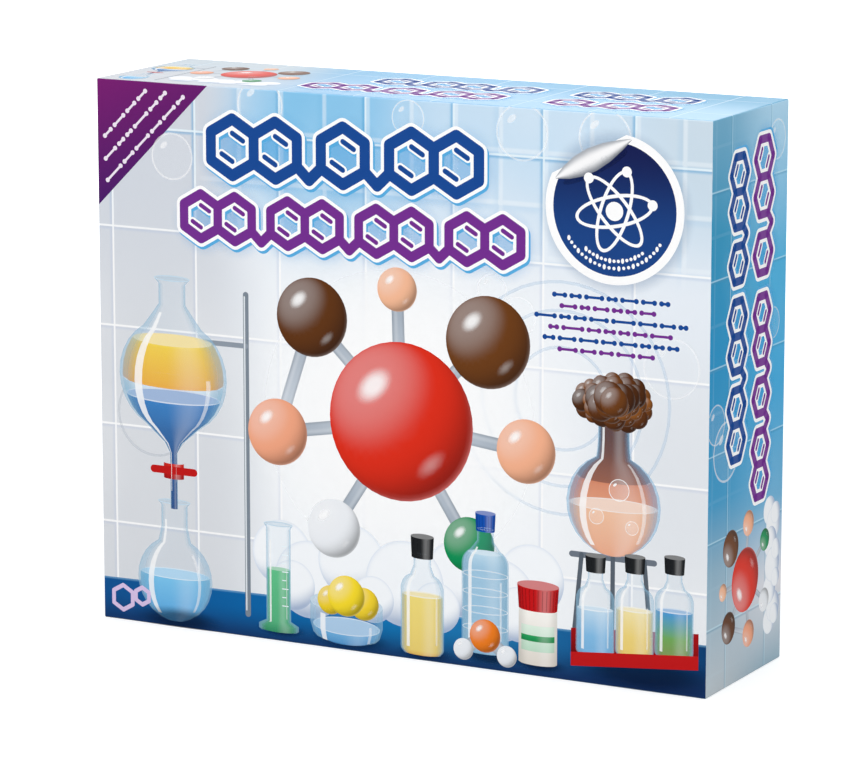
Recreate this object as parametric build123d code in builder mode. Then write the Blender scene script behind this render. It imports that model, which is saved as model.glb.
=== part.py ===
"""Chemistry set case: a board box with a full-depth lift-off lid, standing on its long edge.

Frame: millimetres, +Z up, origin at the middle of the lower face. The printed front faces -Y,
X runs along the long side. Behind the lid a moulded insert holds every piece of the kit.
"""
import os
from math import cos, radians, sin, tan

from build123d import *

os.makedirs("parts", exist_ok=True)

# ---------------------------------------------------------------- driving dimensions
# case
case_w = 340.0          # outside, X
case_d = 90.0           # outside, Y
case_h = 280.0          # outside, Z
board = 1.8             # wrapped greyboard
board_round = 0.9       # rounding of the wrapped outer edges
lid_gap = 0.5           # lid wall to base wall, each side
rim_gap = 0.5           # base rim to the inside of the lid front
back_reveal = 1.0       # the base back stands proud of the lid rim
headspace = 9.2         # insert face to the inside of the lid front

# moulded insert
tray_gap = 0.6          # insert to the base wall, each side
sheet = 1.0             # thickness of the moulded sheet
draft = 2.0             # degrees, pocket walls and skirt
tray_corner = 6.0
margin = 7.0            # skirt to the nearest pocket floor
web = 8.0               # between neighbouring pocket floors, where the case has the room
fit = 0.5               # piece to pocket wall
seat = 0.3              # piece to what it rests on
sink = 1.0              # front of a piece below the face of the insert
pocket_corner = 1.5
finger_r = 10.0         # finger wells beside the pieces
finger_depth = 13.0

# booklet
booklet_w, booklet_h, booklet_t = 148.0, 210.0, 1.6

# goggles
goggles_w = 146.0       # over the strap lugs
goggles_h = 76.0
goggles_d = 42.0
lug_w, lug_h, lug_d, lug_slot = 6.0, 22.0, 9.0, 2.6
goggles_wall = 2.0
goggles_corner = 27.0
goggles_taper = 7.0     # degrees, face side to lens side
lens_t = 1.6
lens_rim = 6.5          # frame showing round the lens
lens_lip = 2.5          # ledge that the lens sits on
nose_r = 15.0
vent_r, vent_pitch = 1.4, 7.0
strap_w, strap_t, strap_bend = 15.0, 1.4, 5.0

# test tubes, caps and rack
tube_count = 4
tube_r, tube_wall, tube_len = 8.0, 1.0, 85.0
tube_lip, tube_lip_h = 0.7, 1.6
tube_pitch = 24.0
cap_r, cap_h, cap_cup = 9.6, 12.0, 7.0
cap_wall = 1.6
cap_plug, cap_plug_fit = 6.5, 0.2
cap_travel = 9.0
rack_d, rack_end, rack_plate = 30.0, 5.0, 6.0
rack_h = 50.0
rack_seat = 3.0         # tube bottom below the top of the rack base
rack_hole_fit = 0.6
rack_post = 9.0

# conical flask and stopper
flask_r, flask_h, flask_wall = 30.0, 86.0, 1.4
flask_heel = 5.0        # radius of the rounded foot
flask_neck_r, flask_neck_h = 12.5, 24.0
flask_lip, flask_lip_h = 1.8, 2.6
stopper_h, stopper_in, stopper_fit = 20.0, 9.0, 0.25
stopper_slope = 4.5     # degrees
stopper_travel = 12.0

# beaker
beaker_r, beaker_h, beaker_wall = 24.0, 66.0, 1.4
beaker_heel = 4.0
spout_r, spout_reach, spout_h = 7.0, 5.0, 15.0
rim_lip, rim_lip_h = 0.8, 1.6

# petri dish
petri_r, petri_h, petri_wall = 29.4, 12.0, 1.3
petri_lid_h, petri_lid_fit = 9.0, 0.6
petri_travel = 7.5

# jars with screw caps
jar_r, jar_h, jar_wall = 17.0, 40.0, 1.6
jar_neck_r, jar_neck_h = 14.4, 10.0
jar_cap_r, jar_cap_h, jar_cap_wall = 17.8, 13.0, 1.5
jar_cap_ribs, jar_rib_w, jar_rib_deep = 24, 1.6, 0.6
jar_pitch = 41.0

# syringe
barrel_r, barrel_wall, barrel_len = 9.0, 1.0, 68.0
nozzle_r, nozzle_bore, nozzle_len = 2.4, 0.9, 11.0
flange_w, flange_d, flange_t = 32.0, 18.4, 2.4
plunger_out, plunger_disc_r, plunger_disc_t = 8.0, 9.0, 2.0
plunger_rib, plunger_fit = 1.6, 0.3
seal_len, seal_fit = 6.0, 0.15
plunger_travel = 45.0

# pipette
bulb_r, bulb_len, pipette_wall = 6.6, 34.0, 0.9
stem_r, stem_len = 3.1, 84.0
tip_r, tip_bore, tip_len = 1.5, 0.6, 26.0

# tweezers
arm_len, arm_w, arm_tip_w = 102.0, 8.0, 3.0
arm_root_t, arm_mid_t, arm_tip_t = 3.2, 2.2, 1.2
arm_angle = 4.0         # each arm off the middle line, at rest
arm_gap = 0.3           # between the two arm roots
grip_ribs, grip_pitch = 6, 3.0

# rod, straw, balloons and strips
rod_r, rod_len, rod_bead = 2.5, 145.0, 3.1
straw_r, straw_wall, straw_len = 2.5, 0.4, 138.0
balloon_r, balloon_len, balloon_neck, balloon_t = 15.5, 46.0, 9.0, 1.8
balloon_count = 2
strip_w, strip_h, strip_t = 21.0, 50.0, 2.4
strip_count, strip_slit, strip_head = 5, 0.6, 12.0

# ---------------------------------------------------------------- places worked out from them
case_front = -case_d / 2
case_back = case_d / 2
lid_inside = case_front + board
base_w = case_w - 2 * (board + lid_gap)
base_h = case_h - 2 * (board + lid_gap)
base_rim = lid_inside + rim_gap
mid_z = case_h / 2

tray_w = base_w - 2 * (board + tray_gap)
tray_h = base_h - 2 * (board + tray_gap)
tray_face = lid_inside + headspace
tray_back = case_back - board - seat
item_front = tray_face + sink

left = -tray_w / 2 + margin
right = tray_w / 2 - margin
low = mid_z - tray_h / 2 + margin
high = mid_z + tray_h / 2 - margin

# Floors of the pockets, in the web of the insert: width and height, with the fit all round.
strap_back = strap_bend + strap_t
goggles_cell = (goggles_w + 2 * fit, goggles_h + 2 * fit)
rod_cell = (2 * rod_bead + 2 * fit, rod_len + 2 * fit)
straw_cell = (2 * straw_r + 2 * fit, straw_len + 2 * fit)

rack_w = (tube_count - 1) * tube_pitch + 2 * (tube_r + rack_end + rack_hole_fit) + 2.0
tube_lift = rack_plate - rack_seat + seat
rack_cell = (rack_w + 2 * fit, fit + tube_lift + tube_len + seat + cap_h + cap_travel + 2 * fit)

stopper_rim_r = flask_neck_r - flask_wall - stopper_fit
stopper_top_r = stopper_rim_r + (stopper_h - stopper_in) * tan(radians(stopper_slope))
stopper_low_r = stopper_rim_r - stopper_in * tan(radians(stopper_slope))
flask_cell = (2 * flask_r + 2 * fit, flask_h + stopper_h - stopper_in + stopper_travel + 3 * fit)

beaker_out = beaker_r + spout_reach
beaker_cell = (beaker_out + beaker_r + rim_lip + 2 * fit, beaker_h + 2 * fit)
balloon_cell = (balloon_len + 2 * fit, 2 * balloon_r + 2 * fit)
syringe_cell = (flange_w + 2 * fit, nozzle_len + barrel_len + plunger_out + plunger_travel + 3 * fit)
pipette_len = tip_len + stem_len + bulb_len
pipette_cell = (2 * bulb_r + 2 * fit, pipette_len + 2 * fit)

arm_spread = arm_root_t / 2 + arm_gap / 2
tweezers_half = arm_spread + arm_len * sin(radians(arm_angle)) + arm_root_t / 2
tweezers_cell = (arm_len + arm_root_t / 2 + 2 * fit, 2 * tweezers_half + 2 * fit)
jar_total = jar_h + seat + jar_cap_h
jar_cell = (jar_pitch + 2 * jar_cap_r + 2 * fit, jar_total + 2 * fit)
strip_cell = (strip_w + 2 * fit, strip_h + 2 * fit)
petri_lid_r = petri_r + petri_lid_fit + petri_wall
petri_cell_r = petri_lid_r + fit
petri_cell = (2 * petri_cell_r, 2 * petri_cell_r)


def shared_web(side, room, *rows):
    """The web between pockets: as named, or in a small case an even share of what its fullest row leaves."""
    return min([web] + [(room - sum(cell[side] for cell in row)) / (len(row) - 1) for row in rows])


web_x = shared_web(0, right - left, (goggles_cell, rod_cell, straw_cell, rack_cell),
                   (syringe_cell, pipette_cell, tweezers_cell, beaker_cell, flask_cell),
                   (syringe_cell, pipette_cell, jar_cell, strip_cell, beaker_cell, flask_cell))
web_z = shared_web(1, high - low, (flask_cell, rack_cell), (pipette_cell, goggles_cell),
                   (tweezers_cell, jar_cell, petri_cell, goggles_cell))

# Places of the pieces, row by row.
goggles_x = left + goggles_cell[0] / 2
goggles_z = high - goggles_cell[1] / 2
goggles_y = item_front + goggles_d

rod_x = left + goggles_cell[0] + web_x + rod_cell[0] / 2
rod_z = high - rod_cell[1] + fit
rod_y = item_front + rod_bead

straw_x = rod_x + rod_cell[0] / 2 + web_x + straw_cell[0] / 2
straw_z = high - straw_cell[1] + fit
straw_y = item_front + straw_r

rack_x = right - rack_cell[0] / 2
rack_z = high - rack_cell[1] + fit
rack_y = item_front + rack_d / 2
tube_z = rack_z + tube_lift
tube_xs = [rack_x + (i - (tube_count - 1) / 2) * tube_pitch for i in range(tube_count)]
cap_z = tube_z + tube_len + seat

flask_x = right - flask_cell[0] / 2
flask_z = low + fit
flask_y = item_front + flask_r
stopper_z = flask_z + flask_h - stopper_in

beaker_right = right - flask_cell[0] - web_x
beaker_x = beaker_right - fit - beaker_r - rim_lip
beaker_z = low + fit
beaker_y = item_front + beaker_r + rim_lip

balloon_x = beaker_right - balloon_cell[0] / 2
balloon_z = low + beaker_cell[1] + web_z + balloon_cell[1] / 2
balloon_y = item_front

syringe_x = left + syringe_cell[0] / 2
syringe_z = low + fit
syringe_y = item_front + flange_d / 2
barrel_z = syringe_z + nozzle_len
flange_z = barrel_z + barrel_len - flange_t

pipette_x = left + syringe_cell[0] + web_x + pipette_cell[0] / 2
pipette_z = low + fit
pipette_y = item_front + bulb_r

middle = pipette_x + pipette_cell[0] / 2 + web_x
tweezers_x = middle + fit + arm_root_t / 2
tweezers_z = low + tweezers_cell[1] / 2
tweezers_y = item_front + arm_w / 2

jar_xs = [middle + fit + jar_cap_r, middle + fit + jar_cap_r + jar_pitch]
jar_z = low + tweezers_cell[1] + web_z + fit
jar_y = item_front + jar_cap_r

strip_x = middle + jar_cell[0] + web_x + strip_cell[0] / 2
strip_z = jar_z + strip_h / 2
strip_y = item_front

petri_x = middle + petri_cell_r
petri_z = jar_z - fit + jar_cell[1] + web_z + petri_cell_r
petri_y = item_front
petri_total = petri_h + seat + petri_wall


def facing(y):
    """Sketch plane that looks at the viewer: local x is X, local y is Z."""
    return Plane.XZ.offset(-y)


def upright(x, y, z):
    """Profile plane of a piece turned about its own vertical axis."""
    return Plane(origin=(x, y, z), x_dir=(1, 0, 0), z_dir=(0, -1, 0))


def flat_turned(x, y, z):
    """Profile plane of a piece turned about an axis that runs front to back."""
    return Plane(origin=(x, y, z), x_dir=(1, 0, 0), z_dir=(0, 0, 1))


def turn(plane, outline, mode=Mode.ADD):
    """Revolve an outline of (radius, height) points about the plane's own y axis."""
    with BuildSketch(plane) as profile:
        with BuildLine():
            Polyline(*outline, close=True)
        make_face()
    revolve(profile.sketch, axis=Axis(plane.origin, plane.y_dir), mode=mode)


def save(piece, name):
    """Label a finished piece and write it as its own file."""
    piece.part.label = name
    export_step(piece.part, f"parts/{name}.step")


# ---------------------------------------------------------------- lid
with BuildPart() as lid_shell:
    with BuildSketch(facing(case_front)):
        with Locations((0, mid_z)):
            Rectangle(case_w, case_h)
    extrude(amount=-(case_d - back_reveal))
    wrapped = lid_shell.edges().filter_by(Axis.Y) + lid_shell.faces().sort_by(Axis.Y)[0].edges()
    fillet(wrapped, radius=board_round)
    with BuildSketch(facing(lid_inside)):
        with Locations((0, mid_z)):
            Rectangle(case_w - 2 * board, case_h - 2 * board)
    extrude(amount=-case_d, mode=Mode.SUBTRACT)
save(lid_shell, "lid_shell")

# ---------------------------------------------------------------- base
with BuildPart() as base_shell:
    with BuildSketch(facing(case_back)):
        with Locations((0, mid_z)):
            Rectangle(base_w, base_h)
    extrude(amount=case_back - base_rim)
    wrapped = base_shell.edges().filter_by(Axis.Y) + base_shell.faces().sort_by(Axis.Y)[-1].edges()
    fillet(wrapped, radius=board_round)
    with BuildSketch(facing(case_back - board)):
        with Locations((0, mid_z)):
            Rectangle(base_w - 2 * board, base_h - 2 * board)
    extrude(amount=case_d, mode=Mode.SUBTRACT)
save(base_shell, "base_shell")

# ---------------------------------------------------------------- booklet, behind the insert
with BuildPart() as instruction_booklet:
    booklet_low = mid_z - tray_h / 2 + sheet + seat
    with BuildSketch(facing(case_back - board - seat)):
        with Locations((0, booklet_low + booklet_h / 2)):
            Rectangle(booklet_w, booklet_h)
    extrude(amount=booklet_t)
    fillet(instruction_booklet.edges().filter_by(Axis.Z).group_by(Axis.X)[0], radius=booklet_t * 0.45)
save(instruction_booklet, "instruction_booklet")

# ---------------------------------------------------------------- goggles
goggles_body_w = goggles_w - 2 * lug_w


def goggles_outline(inset):
    """Face-side outline with the notch for the nose, drawn this far inside the edge."""
    with Locations((goggles_x, goggles_z)):
        RectangleRounded(goggles_body_w, goggles_h, goggles_corner)
    with Locations((goggles_x, goggles_z - goggles_h / 2)):
        Circle(nose_r, mode=Mode.SUBTRACT)
    sharp = [v for v in vertices() if abs(v.Y - (goggles_z - goggles_h / 2)) < 0.01
             and abs(v.X - goggles_x) < nose_r + 0.01]
    fillet(sharp, radius=nose_r * 0.6)
    if inset:
        offset(amount=-inset, kind=Kind.ARC)


lens_shrink = goggles_d * tan(radians(goggles_taper))
with BuildPart() as goggles_frame:
    with BuildSketch(facing(goggles_y)):
        goggles_outline(0)
    extrude(amount=goggles_d, taper=goggles_taper)
    with BuildSketch(facing(goggles_y)):
        goggles_outline(goggles_wall)
    extrude(amount=goggles_d - goggles_wall - lens_t, taper=goggles_taper, mode=Mode.SUBTRACT)
    with BuildSketch(facing(item_front)):
        goggles_outline(lens_shrink + lens_rim)
    extrude(amount=-goggles_d / 2, mode=Mode.SUBTRACT)
    with BuildSketch(facing(item_front)):
        goggles_outline(lens_shrink + lens_rim - lens_lip)
    extrude(amount=-lens_t, mode=Mode.SUBTRACT)
    with Locations(*[(goggles_x + side * (goggles_w / 2 - lug_w), goggles_y - lug_d / 2, goggles_z)
                     for side in (-1, 1)]):
        Box(2 * lug_w, lug_d, lug_h)
    with Locations(*[(goggles_x + side * (goggles_w / 2 - lug_w / 2), goggles_y - lug_d / 2, goggles_z)
                     for side in (-1, 1)]):
        Box(lug_slot, 2 * lug_d, strap_w + 1.0, mode=Mode.SUBTRACT)
    with BuildSketch(facing(goggles_y)):
        goggles_outline(goggles_wall)
    extrude(amount=lug_d, taper=goggles_taper, mode=Mode.SUBTRACT)
    with BuildSketch(Plane.YZ.offset(goggles_x)):
        with Locations((item_front + goggles_d * 0.42, goggles_z)):
            with GridLocations(vent_pitch, vent_pitch, 3, 3):
                Circle(vent_r)
    extrude(amount=goggles_w, both=True, mode=Mode.SUBTRACT)
save(goggles_frame, "goggles_frame")

with BuildPart() as goggles_lens:
    with BuildSketch(facing(item_front)):
        goggles_outline(lens_shrink + lens_rim - lens_lip + seat)
    extrude(amount=-(lens_t - seat / 2))
save(goggles_lens, "goggles_lens")

with BuildPart() as goggles_strap:
    strap_half = (goggles_w - lug_w) / 2
    strap_from = goggles_y + seat
    strap_to = strap_from + strap_back - strap_t / 2
    with BuildSketch(Plane.XY.offset(goggles_z - strap_w / 2)):
        with BuildLine():
            FilletPolyline((goggles_x - strap_half, strap_from), (goggles_x - strap_half, strap_to),
                           (goggles_x + strap_half, strap_to), (goggles_x + strap_half, strap_from),
                           radius=strap_bend)
        trace(line_width=strap_t)
    extrude(amount=strap_w)
save(goggles_strap, "goggles_strap")

# ---------------------------------------------------------------- rack
with BuildPart() as tube_rack:
    with Locations((rack_x, rack_y, rack_z)):
        Box(rack_w, rack_d, rack_plate, align=(Align.CENTER, Align.CENTER, Align.MIN))
    fillet(tube_rack.edges().filter_by(Axis.Y), radius=1.5)
    shelf_z = rack_z + rack_h - rack_plate
    with Locations((rack_x, rack_y, shelf_z)):
        Box(rack_w, rack_d, rack_plate, align=(Align.CENTER, Align.CENTER, Align.MIN))
    shelf_edges = tube_rack.edges().filter_by(lambda e: e.center().Z > shelf_z - 0.1)
    fillet(shelf_edges.filter_by(Axis.X), radius=1.5)
    post_x = (rack_w - rack_end) / 2
    post_y = (rack_d - rack_post) / 2 - 1.0
    with Locations((rack_x, rack_y, rack_z + rack_h / 2)):
        with GridLocations(2 * post_x, 2 * post_y, 2, 2):
            Box(rack_end, rack_post, rack_h - 2.0)
    with Locations(*[(x, rack_y, shelf_z - 1.0) for x in tube_xs]):
        Cylinder(tube_r + rack_hole_fit, rack_plate + 2.0, align=(Align.CENTER, Align.CENTER, Align.MIN),
                 mode=Mode.SUBTRACT)
    with Locations(*[(x, rack_y, tube_z + tube_r) for x in tube_xs]):
        Sphere(tube_r + seat, mode=Mode.SUBTRACT)
save(tube_rack, "tube_rack")

# ---------------------------------------------------------------- test tubes and caps
cap_plug_r = tube_r - tube_wall - cap_plug_fit
for number, tube_x in enumerate(tube_xs, start=1):
    with BuildPart() as test_tube:
        tube_plane = upright(tube_x, rack_y, tube_z)
        with BuildSketch(tube_plane):
            with BuildLine():
                bottom = CenterArc((0, tube_r), tube_r, -90, 90)
                bore_r = tube_r - tube_wall
                Polyline(bottom @ 1, (tube_r, tube_len - tube_lip_h),
                         (tube_r + tube_lip, tube_len - tube_lip_h), (tube_r + tube_lip, tube_len),
                         (bore_r, tube_len), (bore_r, tube_r))
                bore = CenterArc((0, tube_r), bore_r, 0, -90)
                Line(bore @ 1, bottom @ 0)
            make_face()
        revolve(axis=Axis(tube_plane.origin, tube_plane.y_dir))
    save(test_tube, f"test_tube_{number}")

    with BuildPart() as tube_cap:
        turn(upright(tube_x, rack_y, cap_z), [
            (0, -cap_plug), (cap_plug_r - 0.6, -cap_plug), (cap_plug_r, -cap_plug + 1.2), (cap_plug_r, 0),
            (cap_r - 0.5, 0), (cap_r, cap_h), (cap_r - cap_wall, cap_h), (cap_r - cap_wall, cap_h - cap_cup),
            (0, cap_h - cap_cup)])
        fillet(tube_cap.edges().filter_by(GeomType.CIRCLE).sort_by(Axis.Z)[-2:], radius=0.5)
    save(tube_cap, f"tube_cap_{number}")

# ---------------------------------------------------------------- conical flask and its stopper
with BuildPart() as conical_flask:
    shoulder = flask_h - flask_neck_h
    flask_plane = upright(flask_x, flask_y, flask_z)
    with BuildSketch(flask_plane):
        with BuildLine():
            Polyline((0, 0), (flask_r, 0), (flask_r, flask_heel + 1.0), (flask_neck_r, shoulder),
                     (flask_neck_r, flask_h), (0, flask_h), close=True)
        make_face()
        fillet(vertices().filter_by(lambda v: v.X == flask_r and v.Y == 0), radius=flask_heel)
        fillet(vertices().filter_by(lambda v: v.X == flask_neck_r and v.Y == shoulder), radius=flask_neck_r)
    revolve(axis=Axis(flask_plane.origin, flask_plane.y_dir))
    offset(amount=-flask_wall, openings=conical_flask.faces().sort_by(Axis.Z)[-1])
    turn(upright(flask_x, flask_y, flask_z + flask_h - flask_lip_h), [
        (flask_neck_r - flask_wall / 2, 0), (flask_neck_r + flask_lip, 0.6),
        (flask_neck_r + flask_lip, flask_lip_h), (flask_neck_r - flask_wall / 2, flask_lip_h)])
    lip_rim = conical_flask.edges().filter_by(GeomType.CIRCLE).group_by(Axis.Z)[-1].sort_by(SortBy.RADIUS)[-1]
    fillet(lip_rim, radius=0.8)
save(conical_flask, "conical_flask")

with BuildPart() as flask_stopper:
    turn(upright(flask_x, flask_y, stopper_z), [
        (0, 0), (stopper_low_r, 0), (stopper_top_r, stopper_h), (0, stopper_h)])
    fillet(flask_stopper.edges().filter_by(GeomType.CIRCLE), radius=0.7)
save(flask_stopper, "flask_stopper")

# ---------------------------------------------------------------- beaker
with BuildPart() as beaker:
    with Locations((beaker_x, beaker_y, beaker_z)):
        Cylinder(beaker_r, beaker_h, align=(Align.CENTER, Align.CENTER, Align.MIN))
    fillet(beaker.faces().sort_by(Axis.Z)[0].edges(), radius=beaker_heel)
    turn(upright(beaker_x, beaker_y, beaker_z + beaker_h - rim_lip_h), [
        (0, 0), (beaker_r, 0), (beaker_r + rim_lip, rim_lip_h / 2), (beaker_r + rim_lip, rim_lip_h),
        (0, rim_lip_h)])
    for shrink, mode in ((0, Mode.ADD), (beaker_wall, Mode.SUBTRACT)):
        with BuildSketch(Plane.XY.offset(beaker_z + beaker_h - spout_h)):
            with Locations((beaker_x - beaker_r + spout_r * 0.6, beaker_y)):
                Circle(spout_r * 0.5 - shrink * 0.9)
        with BuildSketch(Plane.XY.offset(beaker_z + beaker_h)):
            with Locations((beaker_x - beaker_out + spout_r, beaker_y)):
                Circle(spout_r - shrink)
        loft(mode=mode)
    turn(upright(beaker_x, beaker_y, beaker_z), [
        (0, beaker_wall), (beaker_r - beaker_wall - 2.0, beaker_wall),
        (beaker_r - beaker_wall, beaker_wall + 2.0), (beaker_r - beaker_wall, beaker_h + 1.0),
        (0, beaker_h + 1.0)], mode=Mode.SUBTRACT)
save(beaker, "beaker")

# ---------------------------------------------------------------- petri dish
with BuildPart() as petri_dish_base:
    turn(flat_turned(petri_x, petri_y + petri_total, petri_z), [
        (0, 0), (petri_r, 0), (petri_r, -petri_h), (petri_r - petri_wall, -petri_h),
        (petri_r - petri_wall, -petri_wall), (0, -petri_wall)])
    fillet(petri_dish_base.edges().filter_by(GeomType.CIRCLE).group_by(Axis.Y)[-1], radius=0.8)
save(petri_dish_base, "petri_dish_base")

with BuildPart() as petri_dish_lid:
    turn(flat_turned(petri_x, petri_y, petri_z), [
        (0, 0), (petri_lid_r, 0), (petri_lid_r, petri_lid_h), (petri_lid_r - petri_wall, petri_lid_h),
        (petri_lid_r - petri_wall, petri_wall), (0, petri_wall)])
    fillet(petri_dish_lid.edges().filter_by(GeomType.CIRCLE).group_by(Axis.Y)[0], radius=0.8)
save(petri_dish_lid, "petri_dish_lid")

# ---------------------------------------------------------------- jars and screw caps
for colour, jar_x in zip(("white", "red"), jar_xs):
    with BuildPart() as jar_body:
        turn(upright(jar_x, jar_y, jar_z), [
            (0, 0), (jar_r, 0), (jar_r, jar_h), (jar_neck_r, jar_h), (jar_neck_r, jar_h + jar_neck_h),
            (jar_neck_r - jar_wall, jar_h + jar_neck_h), (jar_neck_r - jar_wall, jar_h - jar_wall),
            (jar_r - jar_wall, jar_h - jar_wall), (jar_r - jar_wall, jar_wall), (0, jar_wall)])
        outer = jar_body.edges().filter_by(GeomType.CIRCLE).filter_by(lambda e: e.radius > jar_r - 0.01)
        fillet(outer, radius=1.2)
    save(jar_body, f"jar_{colour}_body")

    with BuildPart() as jar_cap:
        turn(upright(jar_x, jar_y, jar_z + jar_h + seat), [
            (jar_cap_r, 0), (jar_cap_r, jar_cap_h), (0, jar_cap_h), (0, jar_cap_h - jar_cap_wall),
            (jar_cap_r - jar_cap_wall, jar_cap_h - jar_cap_wall), (jar_cap_r - jar_cap_wall, 0)])
        fillet(jar_cap.edges().filter_by(GeomType.CIRCLE).group_by(Axis.Z)[-1], radius=1.0)
        with Locations((jar_x, jar_y, jar_z + jar_h + seat)):
            with PolarLocations(jar_cap_r, jar_cap_ribs):
                Box(2 * jar_rib_deep, jar_rib_w, jar_cap_h - 2.5, align=(Align.CENTER, Align.CENTER, Align.MIN),
                    mode=Mode.SUBTRACT)
    save(jar_cap, f"jar_{colour}_cap")

# ---------------------------------------------------------------- syringe
barrel_bore = barrel_r - barrel_wall
with BuildPart() as syringe_barrel:
    turn(upright(syringe_x, syringe_y, barrel_z), [
        (0, -nozzle_len), (nozzle_r - 0.4, -nozzle_len), (nozzle_r, 0), (barrel_r, 0), (barrel_r, barrel_len),
        (0, barrel_len)])
    with BuildSketch(Plane.XY.offset(flange_z)):
        with Locations((syringe_x, syringe_y)):
            SlotOverall(flange_w, flange_d)
    extrude(amount=flange_t)
    turn(upright(syringe_x, syringe_y, barrel_z), [
        (0, -nozzle_len - 1.0), (nozzle_bore, -nozzle_len - 1.0), (nozzle_bore, barrel_wall),
        (barrel_bore, barrel_wall), (barrel_bore, barrel_len + 1.0), (0, barrel_len + 1.0)],
        mode=Mode.SUBTRACT)
save(syringe_barrel, "syringe_barrel")

seal_z = barrel_z + barrel_wall + seat
with BuildPart() as syringe_seal:
    seal_r = barrel_bore - seal_fit
    turn(upright(syringe_x, syringe_y, seal_z), [
        (0, 0), (seal_r - 0.5, 0), (seal_r, 0.5), (seal_r, 1.6), (seal_r - 0.6, 2.2),
        (seal_r - 0.6, seal_len - 2.2), (seal_r, seal_len - 1.6), (seal_r, seal_len - 0.5),
        (seal_r - 0.5, seal_len), (0, seal_len)])
save(syringe_seal, "syringe_seal")

with BuildPart() as syringe_plunger:
    rod_low = seal_z + seal_len
    rod_top = barrel_z + barrel_len + plunger_out - plunger_disc_t
    rib_span = 2 * (barrel_bore - plunger_fit) - 1.0
    with BuildSketch(Plane.XY.offset(rod_low)):
        with Locations((syringe_x, syringe_y)):
            Rectangle(rib_span, plunger_rib)
            Rectangle(plunger_rib, rib_span)
    extrude(amount=rod_top - rod_low)
    with Locations((syringe_x, syringe_y, rod_low)):
        Cylinder(barrel_bore - plunger_fit, 1.6, align=(Align.CENTER, Align.CENTER, Align.MIN))
    with Locations((syringe_x, syringe_y, rod_top)):
        Cylinder(plunger_disc_r, plunger_disc_t, align=(Align.CENTER, Align.CENTER, Align.MIN))
    fillet(syringe_plunger.edges().filter_by(GeomType.CIRCLE).group_by(Axis.Z)[-1], radius=0.7)
save(syringe_plunger, "syringe_plunger")

# ---------------------------------------------------------------- pipette
with BuildPart() as pipette:
    stem_top = tip_len + stem_len
    pipette_plane = upright(pipette_x, pipette_y, pipette_z)
    turn(pipette_plane, [
        (tip_bore, 0), (tip_r, 0), (stem_r, tip_len), (stem_r, stem_top), (bulb_r, stem_top + 7.0),
        (bulb_r, pipette_len), (0, pipette_len), (0, pipette_len - pipette_wall),
        (bulb_r - pipette_wall, pipette_len - pipette_wall), (bulb_r - pipette_wall, stem_top + 7.4),
        (stem_r - pipette_wall, stem_top + 0.4), (stem_r - pipette_wall, tip_len), (tip_bore, 2.0)])
    fillet(pipette.edges().filter_by(GeomType.CIRCLE).group_by(Axis.Z)[-1], radius=4.0)
save(pipette, "pipette")

# ---------------------------------------------------------------- tweezers
with BuildPart() as tweezers_upper_arm:
    arm_axis = Vector(cos(radians(arm_angle)), 0, sin(radians(arm_angle)))
    arm_root = (tweezers_x, tweezers_y, tweezers_z + arm_spread)
    shaft = arm_len - arm_root_t / 2
    under = -arm_root_t / 2
    with BuildSketch(Plane(origin=arm_root, x_dir=arm_axis, z_dir=(0, -1, 0))):
        Circle(arm_root_t / 2)
        with BuildLine():
            Polyline((0, under), (shaft, under), (shaft, under + arm_tip_t), (shaft * 0.4, under + arm_mid_t),
                     (0, -under), close=True)
        make_face()
        with Locations(*[(shaft * 0.45 + i * grip_pitch, under + arm_mid_t * 0.8) for i in range(grip_ribs)]):
            Circle(grip_pitch * 0.3)
    extrude(amount=arm_w / 2, both=True)
    with BuildSketch(Plane(origin=arm_root, x_dir=arm_axis, z_dir=arm_axis.cross(Vector(0, 1, 0)))):
        with BuildLine():
            Polyline((-arm_root_t, -arm_w / 2), (shaft * 0.6, -arm_w / 2), (shaft, -arm_tip_w / 2),
                     (shaft, arm_tip_w / 2), (shaft * 0.6, arm_w / 2), (-arm_root_t, arm_w / 2), close=True)
        make_face()
    extrude(amount=2 * arm_root_t, both=True, mode=Mode.INTERSECT)
save(tweezers_upper_arm, "tweezers_upper_arm")

with BuildPart() as tweezers_lower_arm:
    mirror(tweezers_upper_arm.part, about=Plane.XY.offset(tweezers_z))
save(tweezers_lower_arm, "tweezers_lower_arm")

# ---------------------------------------------------------------- stirring rod and drinking straw
with BuildPart() as stirring_rod:
    rod_plane = upright(rod_x, rod_y, rod_z)
    with BuildSketch(rod_plane):
        with BuildLine():
            bead = CenterArc((0, rod_bead), rod_bead, -90, 150)
            blend_z = (bead @ 1).Y + 3.0
            Line(bead @ 1, (rod_r, blend_z))
            Line((rod_r, blend_z), (rod_r, rod_len - rod_r))
            dome = CenterArc((0, rod_len - rod_r), rod_r, 0, 90)
            Line(dome @ 1, bead @ 0)
        make_face()
    revolve(axis=Axis(rod_plane.origin, rod_plane.y_dir))
save(stirring_rod, "stirring_rod")

with BuildPart() as drinking_straw:
    with BuildSketch(Plane.XY.offset(straw_z)):
        with Locations((straw_x, straw_y)):
            Circle(straw_r)
            Circle(straw_r - straw_wall, mode=Mode.SUBTRACT)
    extrude(amount=straw_len)
save(drinking_straw, "drinking_straw")

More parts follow.
